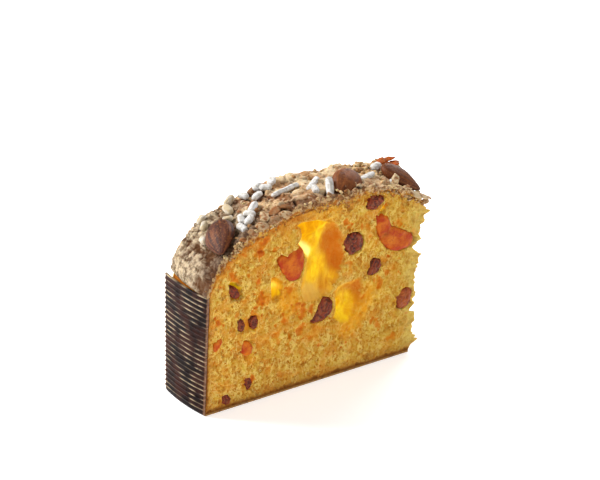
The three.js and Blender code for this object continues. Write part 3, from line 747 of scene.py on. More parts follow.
# Tufts and threads of paler dough stand out from the warm ground between them; they are drawn out
# upwards, the way the dough rose.
threads = f.range(f.noise(1.2, 4, 0.8, 0.3, squeeze=0.75), 0.41, 0.55)
strands = f.range(f.noise(3.4, 3, 0.6, 0.5, squeeze=0.55), 0.42, 0.6)
between = f.maths("SUBTRACT", 1.0, threads)
f.tint("#A06010", f.times(between, f.range(f.noise(4, 4, 0.6), 0.42, 0.56)))
f.tint("#B27216", f.maths("SUBTRACT", 1.0, strands), 0.32)
f.tint("#D6B862", f.times(threads, f.range(strands, 0.0, 1.0, 0.3, 0.9)))
# Toasted, olive and warm places (partly peel, partly painted light through thin walls), painted
# backlight round the hollows where the crumb is thin, and the paler dough of the torn end.
f.tint("#C4721A", f.range(f.noise(7, 3, 0.5, 0.4), 0.48, 0.66), 0.42)
painted_backlight = f.times(f.range(f.note("painted_backlight"), 0.05, 0.8), f.range(f.noise(4), 0.25, 0.6, 0.3, 1.0))
f.tint("#DC9414", painted_backlight, 0.75)
f.tint("#A88C2E", f.range(f.along(0), 0.02, 0.06), 0.25)
warm_tone = f.mix(f.range(f.note("warmth"), 0.3, 0.9), "#C87412", "#B44A0A")
f.tint(warm_tone, f.range(f.note("warmth"), 0.05, 0.6, 0.0, 0.8))
f.tint("#CCB666", f.note("torn"), 0.45)
# The smooth skin of the hollows, streaked along the dough's strands. Where it is thin it is painted
# bright yellow: painted light that came through from behind.
thin_wall = f.range(f.note("thin"), 0.1, 0.9)
streaked = f.range(f.noise(4.5, 4, 0.6, 0.8, squeeze=0.4), 0.36, 0.64)
skin = f.mix(streaked, "#C0780E", "#DCA62A")
skin = f.mix(f.range(f.note("amber"), 0.05, 1.0, 0.0, 0.9), skin, "#B85A08")
skin = f.mix(f.range(f.note("pale"), 0.2, 0.9, 0.0, 0.7), skin, "#D6AC50")
skin = f.mix(thin_wall, skin, f.mix(streaked, "#D49208", "#ECC81C"))
f.tint(skin, f.note("lining"))
# Vanilla seeds.
f.tint("#2A1608", f.range(f.cells(11.0), 0.025, 0.012), 0.8)
# Thin brown crusts: along the paper, along the floor and under the glaze.
ragged = f.times(f.noise(2.2, 4), 2.0)
for key, reach, wide_tone, fade in (("crust_left", 1.1, "#A4682A", 6.0), ("crust_floor", 1.6, "#9C6826", 6.5),
                                    ("crust_dome", 0.8, "#B4681C", 8.0)):
    edge = f.maths("SUBTRACT", f.note(key), ragged)
    wide = f.range(edge, fade, 0.0)
    if key == "crust_dome":
        wide = f.times(wide, f.range(f.along(0), 0.004, -0.02, 0.3, 1.3))
    f.tint(wide_tone, wide, 0.55)
    f.tint("#744418", f.range(edge, reach, -0.7))
burnt = f.times(f.range(f.note("crust_floor"), 6, 1), f.range(f.noise(1.4, 3, 0.6), 0.58, 0.68))
f.tint("#6A4014", burnt, 0.7)
# Painted light: the thin skin and a few spots glow with light of their own, for the light from behind.
glow_spot = f.range(f.note("glow_spot"), 0.1, 1.0)
glow = f.times(f.range(thin_wall, 0.0, 1.0, 0.08, 0.2), f.note("lining"))
glow_tone = f.mix(glow_spot, f.mix(thin_wall, "#D86A08", "#FFDC20"), "#FFF6A0")
f.surface(0.85, 0.05, 0.7, (1.4, 0.9, 0.45), Normal=f.bump(0.7, 0.16, roughness=0.6),
          Emission_Color=glow_tone, Emission_Strength=f.maths("ADD", f.times(glow_spot, 0.65), glow))
f.dress(crumb)

# %% [markdown]
# ## The almond glaze
#
# Beaten egg white, sugar and ground almonds, spread on before baking. It dries to a brittle skin
# that cracks into plates and curls up, so the shell is a fine grid over the dome whose top is
# lifted into lumps and cut by cracks. The cracks follow the borders between cells round scattered
# points.

# %%


PLATE, CHIP = 11.0, 3.2  # the size of the large plates between cracks, and of the small ones


def cell_borders(x, y, size, seed):
    """Distance to the border between the two nearest scattered points, in mm, and the cell's number."""
    i, j = np.floor(x / size), np.floor(y / size)
    nearest = np.full(x.shape, 1e9)
    second = np.full(x.shape, 1e9)
    number = np.zeros(x.shape)
    for di in (-1, 0, 1):
        for dj in (-1, 0, 1):
            ci, cj = i + di, j + dj
            px = (ci + 0.5 + 0.46 * corner_value(ci, cj, seed)) * size
            py = (cj + 0.5 + 0.46 * corner_value(ci, cj, seed + 1)) * size
            away = np.hypot(x - px, y - py)
            closer = away < nearest
            second = np.where(closer, nearest, np.minimum(second, away))
            number = np.where(closer, corner_value(ci, cj, seed + 2), number)
            nearest = np.where(closer, away, nearest)
    return (second - nearest) / 2, number


def glaze_lift(x, y, z):
    """The relief of the glaze's top above its mean level, and how open the cracks are."""
    arc = x - 0.9 * np.clip(100 - z, 0, 60)
    shoulder = smooth((46 - x) / 22)
    bent = 1.6 * roughness_of(arc / 6, y / 6, 2)
    border, number = cell_borders(arc + bent, y - bent, PLATE, 3)
    border_fine, number_fine = cell_borders(arc - bent, y + bent, CHIP, 9)
    open_cracks = smooth((roughness_of(arc / 14, y / 10, 5) + 0.1) * 2)
    crack = (1 - smooth(border / 1.3)) * open_cracks
    open_fine = smooth((roughness_of(arc / 9, y / 7, 8) - 0.2 + 0.3 * shoulder) * 2)
    fine_crack = (1 - smooth(border_fine / 0.6)) * open_fine
    wrinkles = 0.6 * abs(unevenness(arc / 2.2 + 0.3 * bent, y / 3.5, 12)) * shoulder
    smooth_top = smooth((x - 48) / 12) * smooth((y + 15) / 5)
    tilted = (0.6 - 0.3 * smooth_top) * number * (1 - shoulder)
    lumps = 1.2 * roughness_of(arc / 9, y / 8, 1) + tilted + 0.3 * number_fine
    clumps = np.clip(roughness_of(arc / 3.6, y / 3.6, 14, 3) - 0.1, 0, 2)
    rubble = (1 - shoulder) * (1.5 - 1.3 * smooth_top) * clumps
    crack = crack * (1 - 0.6 * smooth_top - 0.6 * shoulder)
    fine_crack = fine_crack * (1 - 0.7 * smooth_top)
    grain = 0.2 * roughness_of(arc / 1.1, y / 1.1, 4)
    height = lumps + rubble - wrinkles + grain - 2.0 * crack - 0.6 * fine_crack
    return height, np.maximum(crack, 0.55 * fine_crack), smooth_top, number


GLAZE_ALONG, GLAZE_ACROSS, GLAZE_LAYERS = 400, 86, 5
DOME_RUN = 165  # the length of the dome's outline

bm = slab(GLAZE_ALONG, GLAZE_ACROSS, GLAZE_LAYERS)
grid = corners_of(bm)
u, across, w = grid[:, 0] + 0.5, 2 * grid[:, 1], grid[:, 2]
level_x, level_z = dome_point(u, across, np.full_like(u, GLAZE))
level_y = across * half_thickness(level_z)
relief, cracked, smooth_top, plate_number = glaze_lift(level_x, level_y, level_z)
rim = smooth(np.minimum(u, 1 - u) * DOME_RUN / 2)
bottom = 0.1 + thin_front(level_x, across)
lift = lerp(bottom, GLAZE + relief * rim - 0.6 * (1 - rim), w)
lift = np.maximum(lift, bottom + 1.2 * w)
x, z = dome_point(u, across, lift)
y = across * half_thickness(z)
# The glaze's own edge at the cut is crumbly, and here and there it hangs down over the crumb.
on_cut = abs(abs(across) - 1) < 1e-3
hangs = np.clip(roughness_of(x / 3.5, 2.0, 3 + 0.5 * across, 4) + 0.1, 0, 1) * 3.4 * (1 - w) ** 2
hangs += 1.8 * np.exp(-(((x - 78) / 6) ** 2)) * (1 - w) ** 2
broken = 0.5 * roughness_of(x / 1.6, z / 1.6, 3) + 0.5 * abs(unevenness(x / 0.8, z / 0.8, 6))
z[on_cut] -= hangs[on_cut] * rim[on_cut]
y[on_cut] += np.sign(across[on_cut]) * np.clip(0.1 + 0.5 * broken[on_cut], -0.6, 0.8)
notes = {
    "crack": cracked, "relief": relief, "edge": on_cut * 1.0, "along": x, "smooth_top": smooth_top,
    "plate": plate_number, "underside": on_cut * (1 - w),
}
glaze = keep(bm, "almond_glaze_shell", np.column_stack([x, y, z]), ["glaze"], notes)

# %% [markdown]
# ## The colours of the glaze
#
# It bakes beige and is pale where it is floury. Its cracks and dips are painted darker brown, which is
# painted shade, so it looks paler where it stands up. The left shoulder is greyer and streaked, with
# painted shade towards the front cut, and the broken edge at the cut shows the paler inside.

# %%
f = Finish("almond glaze, cracked and baked")
along, behind = f.note("along"), f.along(1)
paler = f.maths("ADD", f.noise(8), f.times(f.note("plate"), 0.12))
plate = f.mix(f.range(paler, 0.38, 0.62), "#7A4C2A", "#CCAA80")
plate = f.mix(f.note("smooth_top"), plate, f.mix(f.range(paler, 0.38, 0.64), "#A87E54", "#D6BC94"))
shoulder = f.mix(f.range(f.noise(3, 5, 0.7), 0.4, 0.6), "#6C5840", "#C2AE90")
# Painted shade: the shoulder darkens towards the front cut, which faces away from the window.
shoulder = f.mix(f.range(behind, -0.002, -0.017, 0.0, 0.85), shoulder, "#50382A")
f.body = f.mix(f.range(along, 44, 24), plate, shoulder)
off_shoulder = f.range(along, 22, 40, 0.25, 1.0)
spots = f.times(f.range(f.noise(1.7, 4, 0.65), 0.5, 0.62), off_shoulder)
f.tint("#6A3A16", f.times(spots, f.range(f.note("smooth_top"), 0.0, 1.0, 0.7, 0.15)))
flour = f.range(f.noise(2.6, 4, 0.6), 0.52, 0.64)
f.tint("#DCC8A6", f.times(flour, off_shoulder), 0.6)
# A browner band along the front cut, up to the middle.
front_band = f.times(f.range(behind, -0.008, -0.016), f.times(off_shoulder, f.range(along, 82, 76)))
f.tint("#745034", f.times(front_band, f.range(f.noise(4, 4, 0.6), 0.35, 0.55, 0.1, 0.75)))
f.tint("#9C4E1E", f.times(f.range(f.noise(6, squeeze=1.3), 0.6, 0.7), f.range(along, 20, 32)), 0.6)
# Painted shade in the dips of the relief and, darkest, in the cracks.
f.tint("#54300F", f.range(f.note("relief"), 0.0, -2.0))
f.tint("#361C0C", f.range(f.note("crack"), 0.15, 0.8))
# The broken edge, and the soft baked dough that clings to its underside.
f.tint(f.mix(f.range(f.noise(2.0, 4), 0.42, 0.56), "#70401A", "#C8A674"), f.note("edge"), 0.75)
cloudy = f.times(f.maths("SUBTRACT", f.noise(2.5, 5, 0.75), 0.5), 3.2)
baked = f.range(f.maths("ADD", f.note("underside"), cloudy), 0.45, 0.9)
f.tint(f.mix(f.range(f.noise(1.6), 0.45, 0.6), "#A2601A", "#C8963C"), baked)
f.surface(0.75, 0.15, 0.2, (1.2, 0.6, 0.3), Normal=f.bump(0.8, 0.5, 4, 0.7))
f.dress(glaze)

# %% [markdown]
# ## Crumbs of glaze
#
# The knife and the tear broke the brittle glaze into crumbs, which lie along the cut's upper edge
# and thickly at the torn end. They are small rough lumps, each a dented ball. There are fewer than
# on the real slice, whose finest crumbs are dust.

# %%
CRUMBS = 330
SPREAD_CRUMBS = 210  # these lie along the whole slice, the others at the torn end
FRONT_SHARE = 0.75

draw = np.random.default_rng(77)
bm = bmesh.new()
lumps, tones = [], []
for number in range(CRUMBS):
    spread = number < SPREAD_CRUMBS
    at_x = draw.uniform(6, 131) if spread else draw.uniform(104, 134)
    front = spread and draw.random() < FRONT_SHARE
    at_y = -18.4 + draw.uniform(-0.3, 1.2) if front else draw.uniform(-18, 17)
    lift = draw.uniform(-0.6, GLAZE + 0.6) if front else GLAZE + draw.uniform(0, 0.9)
    size = draw.uniform(0.5, 1.5) * (1.25 if number > 260 else 1)
    if front and 83 < at_x < 106:
        size *= 0.35
    points = ball(bm, 2)
    dent = 1 + 0.35 * roughness_of(1.3 * points[:, 0] + number, 1.3 * points[:, 1], 1.3 * points[:, 2], 2)
    stretch = size * draw.uniform([0.7, 0.5, 0.4], [1.4, 0.9, 0.9])
    spin = Matrix.Rotation(draw.uniform(0, 6.28), 3, "Z") @ Matrix.Rotation(draw.uniform(-0.7, 0.7), 3, "X")
    at_z = float(dome_height(at_x, at_y, lift))
    lumps.append(turned(points * dent[:, None] * stretch, spin) + [at_x, at_y, at_z])
    tones.append(np.full(len(points), draw.random()))
notes = {"tone": np.concatenate(tones)}
crumbs = keep(bm, "glaze_crumbs", np.vstack(lumps), ["glaze"], notes)
f = Finish("crumbs of almond glaze")
f.body = f.mix(f.note("tone"), "#82501F", "#D0B482")
f.tint("#74441E", f.range(f.noise(0.9), 0.5, 0.7))
f.surface(0.75, 0.3, 0.3, (1.5, 0.8, 0.3), Normal=f.bump(0.5, 0.3))
f.dress(crumbs)

# %% [markdown]
# ## Loose flakes of glaze
#
# Larger flakes broke off along the torn end and lie there overlapping, like thin shards. Some are
# baked orange-brown, some are pale. Each is a flattened ball with a broken outline.

# %%
# x, y, height above the crumb, length, width, thickness, heading, rise, share of pale
FLAKES = [
    (126, -17, 4.4, 16, 6, 1.6, -24, -18, 0.8), (118, -9, 5.6, 6.5, 3.6, 1.5, 60, 55, 0.95),
    (115.5, -17, 3.4, 4.5, 3, 1.3, 20, 10, 0.3), (126, -10, 4.6, 7, 4.6, 1.5, 25, -8, 0.9),
    (121.5, -1.5, 5.4, 5.5, 5, 4.4, 30, 0, 1.0), (111, -16.4, 3.6, 7, 4.4, 1.4, -30, 14, 0.8),
    (121, -14.5, 4.6, 6, 4, 1.4, 45, 20, 0.7), (107.5, -14.8, 4.4, 8, 3.8, 1.5, 70, 40, 0.6),
    (103, -16.8, 2.6, 7, 4, 1.4, 10, -8, 0.6), (131, -11, 4.0, 7, 5, 1.3, 15, -14, 0.95),
    (132, 11, 4.8, 10, 6, 1.6, 12, -4, 0.0), (128.5, 15, 5.2, 13, 5, 1.6, -15, 8, 0.0),
    (125, 12, 5.6, 8, 4.5, 1.5, 25, 10, 0.15), (131, 4, 4.6, 8, 6, 1.4, 70, -12, 0.6),
    (97, -14.5, 3.8, 6, 3.6, 1.2, -20, 10, 0.8), (41, -13.5, 4.4, 8, 5, 1.3, 20, 16, 0.45),
    (47, -14.2, 4.0, 9, 4.5, 1.3, -10, -12, 0.3), (36, -2, 5.0, 8, 5, 1.4, 60, 14, 0.35),
    (31, -17.4, 3.0, 9, 6, 3.4, 20, -10, 0.6), (37.5, -17.8, 2.6, 8, 5, 3.0, 0, 10, 0.5),
    (43.5, -18, 2.8, 7, 4.6, 2.6, -20, 0, 0.65), (25.5, -17.6, 3.0, 7, 5, 2.8, 30, -15, 0.5),
    (20, -17.4, 3.0, 5.5, 4, 2.4, 50, -20, 0.45), (34, -14.8, 5.0, 7, 5, 2.6, 70, 15, 0.7),
]
bm = bmesh.new()
shards, tones = [], []
for number, (at_x, at_y, lift, length, width, thick, heading, rise, tone) in enumerate(FLAKES):
    x, y, z = ball(bm, 4).T
    around = np.arctan2(y, x)
    broken = 1 + 0.16 * roughness_of(2.2 * np.cos(around) + number, 2.2 * np.sin(around), number, 3)
    flake = np.column_stack([x * broken * length / 2, y * broken * width / 2, z * thick / 2])
    flake[:, 2] += 0.45 * roughness_of(flake[:, 0] / 3 + number, flake[:, 1] / 3, 2, 3)
    at_z = float(dome_height(at_x, at_y, lift)) + 0.3
    shards.append(turned(flake, laid(heading, rise)) + [at_x, at_y, at_z])
    tones.append(np.full(len(flake), tone))
notes = {"tone": np.concatenate(tones)}
flakes = keep(bm, "glaze_flakes", np.vstack(shards), ["glaze"], notes)
f = Finish("broken flakes of almond glaze")
brown = f.mix(f.range(f.note("tone"), 0.05, 0.3), "#B24E08", "#7E5430")
f.body = f.mix(f.range(f.note("tone"), 0.3, 0.95), brown, "#D8C098")
f.tint("#8A5228", f.range(f.noise(2.2, 4, 0.6), 0.46, 0.62), 0.85)
f.surface(0.6, 0.08, 0.15, (2.0, 1.0, 0.4), Normal=f.bump(0.8, 0.3, 4, 0.6))
f.dress(flakes)

# %% [markdown]
# ## Pearl sugar
#
# Coarse white nibs and a few long rods, pressed into the wet glaze. One piece holds them all. Each
# is a ball, drawn out to its length and dented, and lies along the dome; the rods have fine ribs.

# %%
# x, y, length, width, heading seen from above, rise
SUGAR = [
    (57, 1, 18, 2.9, 8, 0), (72, -1.5, 14.5, 3.3, 36, 5), (75.5, -10.5, 11, 3.9, 62, 42),
    (101.5, -6, 15.5, 3.2, 23, 6),
    (117.5, 6.5, 7, 5, 20, 10), (119.8, -7.2, 9, 3, 10, 8), (124.2, -9.3, 5, 3.4, 40, 10),
    (33.6, 14.8, 7, 4.6, 20, 10), (28.2, 8, 8, 4.4, 75, 5), (35.7, -2.5, 8, 4.2, 30, 10),
    (31.5, -5.7, 6.5, 4, 120, 8),
    (27.1, -5.3, 6, 3.8, 60, 14), (28.4, -9.9, 6.4, 4.2, 15, 6), (23.4, -11.4, 6.6, 3.8, 95, 12),
    (15.9, 9.8, 6, 3.8, 40, 5), (10.2, 1.7, 5.4, 4, 80, 10), (18.1, 15.6, 6, 4.2, 10, 5),
    (58.5, 14.6, 7, 4.4, 45, 12),
    (51.9, 10.3, 6.4, 4.2, 150, 10), (49.8, 14.4, 6, 4.4, 20, 5), (67.9, -8.8, 6, 3.8, 70, 12),
    (40, 12, 6, 4, 110, 6), (44, 6, 7, 3.8, 15, 4), (24, 1.5, 5.5, 3.8, 140, 6),
]
ROD_LENGTH = 8  # longer ones are rods
RIB = 0.9  # from one rib of a rod to the next
RAISED_SHARE = 0.32  # how high a nib's middle lies above the glaze, as a share of its width

bm = bmesh.new()
nibs, coats = [], []
for number, (at_x, at_y, length, width, heading, rise) in enumerate(SUGAR):
    x, y, z = ball(bm, 4).T
    half, radius = length / 2, width / 2
    dent = 0.92 + 0.16 * roughness_of(1.5 * x + number, 1.5 * y, 1.5 * z - number)
    along = x * radius + np.tanh(5 * x) * (half - radius)
    ribs = 1 + 0.05 * np.cos(along * 2 * np.pi / RIB) * (length > ROD_LENGTH)
    nib = np.column_stack([along, y * radius * dent * ribs, z * 0.9 * radius * dent * ribs])
    on_dome = Vector((0, 0, 1)).rotation_difference(dome_normal(at_x, at_y)).to_matrix()
    at_z = float(dome_height(at_x, at_y, GLAZE)) + RAISED_SHARE * width
    nibs.append(turned(nib, on_dome @ laid(heading, rise)) + [at_x, at_y, at_z])
    coats.append(np.full(len(nib), 1.0 if at_x < 35 and at_y > 0 else 0.0))
notes = {"coat": np.concatenate(coats)}
sugar = keep(bm, "pearl_sugar", np.vstack(nibs), ["glaze"], notes)
f = Finish("pearl sugar, pressed and matt")
f.body = f.mix(f.range(f.noise(1.6), 0.4, 0.6), "#C2BCB2", "#DEDCDA")
# At the back of the left shoulder the glaze ran over the sugar and coats it.
f.tint("#B8A27A", f.times(f.note("coat"), f.range(f.noise(3, 4), 0.35, 0.6, 0.4, 0.9)))
f.surface(0.5, 0.2, 0.3, (1.0, 0.95, 0.9), Normal=f.bump(0.7, 0.35))
f.dress(sugar)

# %% [markdown]
# ## Whole almonds in their skins
#
# Three whole almonds were pressed into the glaze, and their skins roasted dark. An almond is a ball
# with one pointed end, flattened, with fine veins that run from end to end: a noise that changes
# quickly round the almond and slowly along it. Two of them have rubbed, paler skin.

# %%
# name, x, y, (length, width, thickness), heading, tip to the side, rise along the dome's normal, rubbed
ALMONDS = [
    ("almond_left", 14.8, -7, (24, 15, 7), 236, 0, 1.6, 0.0),
    ("almond_middle", 86, -10, (20, 14.5, 7.5), 215, 26, 1.2, 0.7),
    ("almond_right", 124, -4.5, (24, 13, 8), -32, 6, 2.2, 0.4),
]
almond_skin = f = Finish("almond skin, roasted")
f.body = f.mix(f.range(f.note("vein"), 0.05, 0.5), "#3A1A0E", "#4C2414")
f.tint("#7C4420", f.range(f.note("streak"), 0.1, 0.8), 0.6)
f.tint("#32140C", f.range(f.note("streak"), -0.1, -0.7), 0.7)
f.tint("#A46C36", f.range(f.noise(1.0, 4, distortion=0.3), 0.5, 0.7), 0.4)
f.tint("#8E5026", f.times(f.note("rubbed"), f.range(f.noise(5), 0.3, 0.6, 0.3, 0.8)))
f.tint("#D8C4A8", f.times(f.note("rubbed"), f.range(f.cells(4.4), 0.12, 0.07)))
f.surface(0.5, 0.15, Normal=f.bump(0.6, 0.2, 4, 0.6))
for name, at_x, at_y, (length, width, thick), heading, tip, rise, rubbed in ALMONDS:
    bm = bmesh.new()
    bmesh.ops.create_uvsphere(bm, u_segments=96, v_segments=64, radius=1)
    end_on = corners_of(bm)[:, [2, 1, 0]] * [1, 1, -1]
    along, side, high = end_on.T
    around = np.arctan2(high, side)
    taper = 1 - 0.3 * smooth(along) - 0.12 * along
    vein = abs(roughness_of(around * 4.5, 0.7 * along + 3, length, 3))
    ridge = 1 + (0.02 * np.cos(8 * around) + 0.018 * vein) * (1 - along**4)
    girth = taper * ridge
    shape = np.column_stack([along * length / 2, side * girth * width / 2, high * girth * thick / 2])
    tipped = Matrix.Rotation(math.radians(tip), 3, "X") @ Matrix.Rotation(math.radians(heading), 3, "Z")
    up = dome_normal(at_x, at_y)
    shape = turned(shape, Vector((0, 0, 1)).rotation_difference(up).to_matrix() @ tipped)
    at_z = float(dome_height(at_x, at_y, GLAZE)) + rise * up.z
    shape = shape + [at_x + rise * up.x, at_y + rise * up.y, at_z]
    streak = roughness_of(around * 4.2 + 0.5 * along, 1.1 * along + length, 4, 4)
    notes = {"vein": vein, "streak": streak, "rubbed": np.full(len(along), rubbed)}
    almond_skin.dress(keep(bm, name + "_skin", shape, [name], notes))

# %% [markdown]
# ## Raisins and candied peel
#
# A raisin is a dried grape: its skin folds as it shrinks. Candied peel is cut in dice and stays
# smooth and see-through. Both lie in their beds in the cut. Each is a dense ball that takes the
# outline seen on the face, or the row's width and height where no outline is read; a noise then
# presses the folds in. A real raisin has more and finer wrinkles than these.

# %%
raisin_skin = f = Finish("raisin skin, wrinkled")
# Painted shade: the folds are painted darker.
f.body = f.mix(f.range(f.note("fold"), 0.2, 0.9), "#7A2C0E", "#340A04")
f.tint("#8C4E22", f.range(f.noise(1.8, 4, 0.6), 0.47, 0.66), 0.55)
# The raisin at the torn end is dusted with crumbs.
at_tear = f.range(f.along(0), 0.044, 0.052)
f.tint("#A8541C", f.times(at_tear, f.range(f.noise(3), 0.35, 0.6, 0.3, 0.8)))
f.surface(0.34, 0.18, 0.3, (1.5, 0.4, 0.1), Normal=f.bump(0.5, 0.15))

peel_flesh = f = Finish("candied orange peel")
f.body = f.mix(f.range(f.noise(6), 0.35, 0.65), "#A6360A", "#C46A16")
f.tint("#922406", f.range(f.noise(1.1, 2), 0.5, 0.72), 0.45)
f.surface(0.35, 0.1, 0.5, (2.5, 0.8, 0.05), Normal=f.bump(0.9, 0.25))

HIDDEN_RIM = 0.7  # how much wider a piece is than what shows of it
DIRECTIONS = np.linspace(-np.pi, np.pi, 72, endpoint=False)
SOFTENING = ((-2, 0.1), (-1, 0.2), (0, 0.4), (1, 0.2), (2, 0.1))  # steps of direction and their weights


def reach_of(outline, middle_x, middle_z):
    """How far an outline lies from a point inside it, in each direction, with its corners softened."""
    corners = np.array([*outline, outline[0]]) - [middle_x, middle_z]
    far = np.zeros_like(DIRECTIONS)
    for (ax, az), (bx, bz) in zip(corners, corners[1:]):
        bx, bz = bx - ax, bz - az
        cross = np.cos(DIRECTIONS) * bz - np.sin(DIRECTIONS) * bx
        cross = np.where(abs(cross) < 1e-9, 1e-9, cross)
        reach = (ax * bz - az * bx) / cross
        share = (ax * np.sin(DIRECTIONS) - az * np.cos(DIRECTIONS)) / cross
        far = np.where((share >= 0) & (share <= 1) & (reach > far), reach, far)
    soft = sum(np.roll(far, step) * weight for step, weight in SOFTENING)
    return soft + HIDDEN_RIM


def fruit_points(points, row, side, seed, wrinkle, folds):
    """Shapes a ball into the fruit of one row and notes how deep its folds are."""
    _, thick, sunk, square, outline = row
    power = 2 + 6 * square
    if isinstance(outline, list):
        middle_x, middle_z = np.mean(outline, axis=0)
        reaches = reach_of(outline, middle_x, middle_z)
        heading = np.arctan2(points[:, 2], points[:, 0])
        half_wide = half_high = np.interp(heading, DIRECTIONS, reaches, period=2 * np.pi)
        turn = 0
        spread = (np.hypot(points[:, 0], points[:, 2]) ** power + abs(points[:, 1]) ** power) ** (-1 / power)
    else:
        middle_x, middle_z, wide, high, turn = outline
        half_wide, half_high = wide / 2, high / 2
        spread = (abs(points) ** power).sum(1) ** (-1 / power)
    x, y, z = points.T
    pinch = 1 - wrinkle * (0.5 + 0.5 * unevenness(2.3 * x + seed, 2.3 * y, 2.3 * z - seed))
    fold = 1 - abs(roughness_of(2.6 * x + seed, 2.6 * y - seed, 2.6 * z, 3))
    fold = np.clip(fold, 0, 1) ** 3
    halves = np.stack(np.broadcast_arrays(half_wide, thick / 2, half_high), axis=-1)
    shape = points * (spread * pinch * (1 - folds * fold))[:, None] * halves
    shape = turned(shape, Matrix.Rotation(-math.radians(turn), 3, "Y"))
    return shape + [middle_x, side * (float(half_thickness(middle_z)) - sunk), middle_z], fold


for rows, side, wrinkle, folds, finish, slot in (
    (RAISINS, -1, 0.16, 0.14, raisin_skin, "raisin_skin"),
    (BACK_RAISINS, 1, 0.16, 0.14, raisin_skin, "raisin_skin"),
    (PEELS, -1, 0.10, 0.03, peel_flesh, "candied_peel"),
    (BACK_PEELS, 1, 0.10, 0.03, peel_flesh, "candied_peel"),
):
    for seed, row in enumerate(rows, 1):
        bm = bmesh.new()
        lumps = [row, PEEL_ARM] if row[0] == "peel_torn_edge" else [row]
        made = [fruit_points(ball(bm, 5), lump, side, seed, wrinkle, folds) for lump in lumps]
        shape, fold = np.vstack([points for points, _ in made]), np.concatenate([fold for _, fold in made])
        finish.dress(keep(bm, row[0] + "_skin", shape, [row[0]], {"fold": fold}))

# %% [markdown]
# ## The paper case
#
# One strip of dark waxed paper runs down the left end, round the foot and along under the slice. The
# wall is pressed into level ridges that keep it stiff; the floor is flat. The strip is a slab bent
# once at the foot: the first part of its length is the wall, the rest the floor. The paper's finer
# creases between the ridges are left out.

# %%
RIDGES = 24
FOOT = 1.4  # the height and width of the rounded foot
FOOT_DROP = 1.2  # how far the paper draws in at its lowest
WALL_SHARE = 0.62  # how much of the grid's length the ridged wall takes
STRIP, STRIP_ACROSS = 520, 40

bm = slab(STRIP, STRIP_ACROSS)
grid = corners_of(bm)
s, across, inner = grid[:, 0] + 0.5, 2 * grid[:, 1], grid[:, 2]
on_wall = s < WALL_SHARE
height = CASE_HEIGHT * (1 - np.clip(s / WALL_SHARE, 0, 1))
wobble = 0.25 * unevenness(height / 9, 2 * across, 3) + 0.12 * unevenness(height / 2, 3 * across, 8)
phase = (height - FOOT + 0.5 * wobble) / ((CASE_HEIGHT - FOOT) / RIDGES)
ridge = 0.5 + 0.5 * np.cos(2 * np.pi * phase)
ridge = ridge**3 * (0.75 + 0.25 * unevenness(height / 5, 4 * across, 1))
ridge = ridge * smooth((height - FOOT) / 1.5)
outer_x = RIDGE_DEPTH * (1 - ridge) + FOOT_DROP * np.clip(1 - height / FOOT, 0, 1) ** 2
wall_x = lerp(outer_x, CASE_WALL, inner)
wall_z = np.maximum(height, lerp(0, PAPER, inner))
floor_x = lerp(FOOT, CUT_LENGTH, np.clip((s - WALL_SHARE) / (1 - WALL_SHARE), 0, 1))
x = np.where(on_wall, wall_x, np.where(inner > 0.5, np.maximum(floor_x, CASE_WALL), floor_x))
z = np.where(on_wall, wall_z, lerp(0.0, PAPER, inner))
torn_edge = torn_x(across, 0.0) - CUT_LENGTH
x = x + lerp(case_x(across), torn_edge, x / CUT_LENGTH)
y = across * half_thickness(z)
on_cut = abs(across) > 0.999
notes = {"ridge": ridge, "cut": on_cut * 1.0, "sheet": on_cut * (s > WALL_SHARE)}
paper = keep(bm, "case_paper_strip", np.column_stack([x, y, z]), ["paper_case"], notes)
f = Finish("baking paper, dark brown and waxed")
f.body = f.mix(f.range(f.noise(9), 0.4, 0.6), "#120605", "#30160F")
# The crests of the ridges are painted pale here and there, a painted highlight, and the cut edges show
# the raw paper.
f.tint("#B09A78", f.times(f.range(f.note("ridge"), 0.55, 0.9), f.range(f.noise(4), 0.25, 0.5)))
f.tint("#9A745C", f.times(f.note("cut"), f.range(f.noise(2), 0.35, 0.6, 0.35, 0.8)))
f.tint("#A87E48", f.times(f.note("sheet"), f.range(f.noise(2.5, 4, 0.6), 0.35, 0.5, 0.3, 0.9)))
f.surface(0.38, 0.06, Normal=f.bump(1.2, 0.08))
f.dress(paper)

# %% [markdown]
# ## Camera, light and floor
#
# The slice was photographed from its left and a little above, with a long lens, on a white ground.
# A window stands behind it, so light comes through the thin skins and the front lies in soft shade;
# a broad weak light fills the front. The floor is a plain white disc.

# %%
LENS = {"lens": 120, "sensor_width": 36, "clip_start": 0.05, "clip_end": 20}
TARGET = Vector((-2.22, 0, 73.03)) / 1000
DISTANCE = 0.99172
FLOOR_RADIUS = 4


def placed(name, data):
    thing = bpy.data.objects.new(name, data)
    bpy.context.scene.collection.objects.link(thing)
    return thing


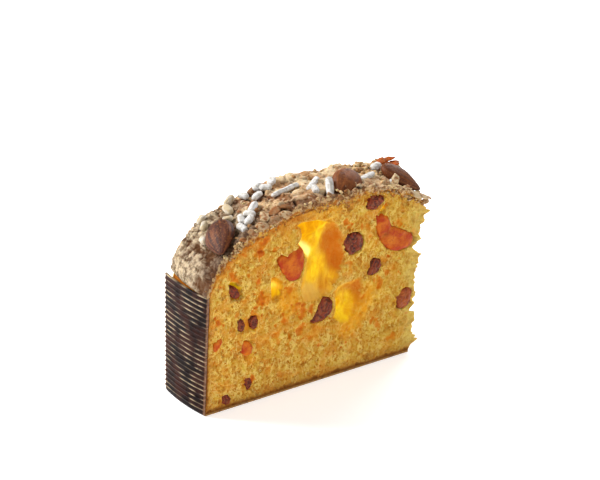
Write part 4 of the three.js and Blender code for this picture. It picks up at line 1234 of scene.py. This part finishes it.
azimuth, elevation, roll = math.radians(36.87), math.radians(25), math.radians(2.44)
forward = Vector((math.sin(azimuth) * math.cos(elevation), math.cos(azimuth) * math.cos(elevation),
                  -math.sin(elevation)))
level_right = Vector((math.cos(azimuth), -math.sin(azimuth), 0))
level_up = level_right.cross(forward)
right = level_right * math.cos(roll) + level_up * math.sin(roll)
up = level_up * math.cos(roll) - level_right * math.sin(roll)
lens = bpy.data.cameras.new("camera")
for key, value in LENS.items():
    setattr(lens, key, value)
camera = placed("camera", lens)
facing = Matrix((right, up, -forward)).transposed().to_4x4()
camera.matrix_world = Matrix.Translation(TARGET - forward * DISTANCE) @ facing
bpy.context.scene.camera = camera

bm = bmesh.new()
bmesh.ops.create_circle(bm, cap_ends=True, segments=96, radius=FLOOR_RADIUS)
mesh = bpy.data.meshes.new("floor")
bm.to_mesh(mesh)
bm.free()
floor = placed("floor", mesh)
f = Finish("white table, matt")
f.body = f.mix(f.noise(300, 2), "#F6F6F6", "#FAFAFA")
f.surface(0.9, 0.1, Emission_Color="#FFFFFF", Emission_Strength=0.5)
f.dress(floor)


def soft_light(name, place, size, power):
    """A white disc of light, in metres and watts, that faces the slice."""
    lamp = bpy.data.lights.new(name, "AREA")
    lamp.shape, lamp.size, lamp.energy = "DISK", size, power
    holder = placed(name, lamp)
    holder.location = place
    holder.rotation_mode = "QUATERNION"
    holder.rotation_quaternion = (Vector((0, 0, 0.05)) - Vector(place)).to_track_quat("-Z", "Y")


soft_light("window behind", (-0.7, 0.8, 0.8), 0.6, 26)
soft_light("window behind right", (0.8, 0.5, 0.6), 0.5, 6)
soft_light("fill in front", (-0.1, -1.2, 0.6), 1.7, 8.5)
world = bpy.data.worlds.new("white room")
world.use_nodes = True
room = world.node_tree.nodes["Background"].inputs
room["Color"].default_value = (1, 1, 1, 1)
room["Strength"].default_value = 0.3
bpy.context.scene.world = world
bpy.context.scene.view_settings.view_transform = "Standard"
print("camera stands", round(1000 * DISTANCE), "mm from the middle of the slice")
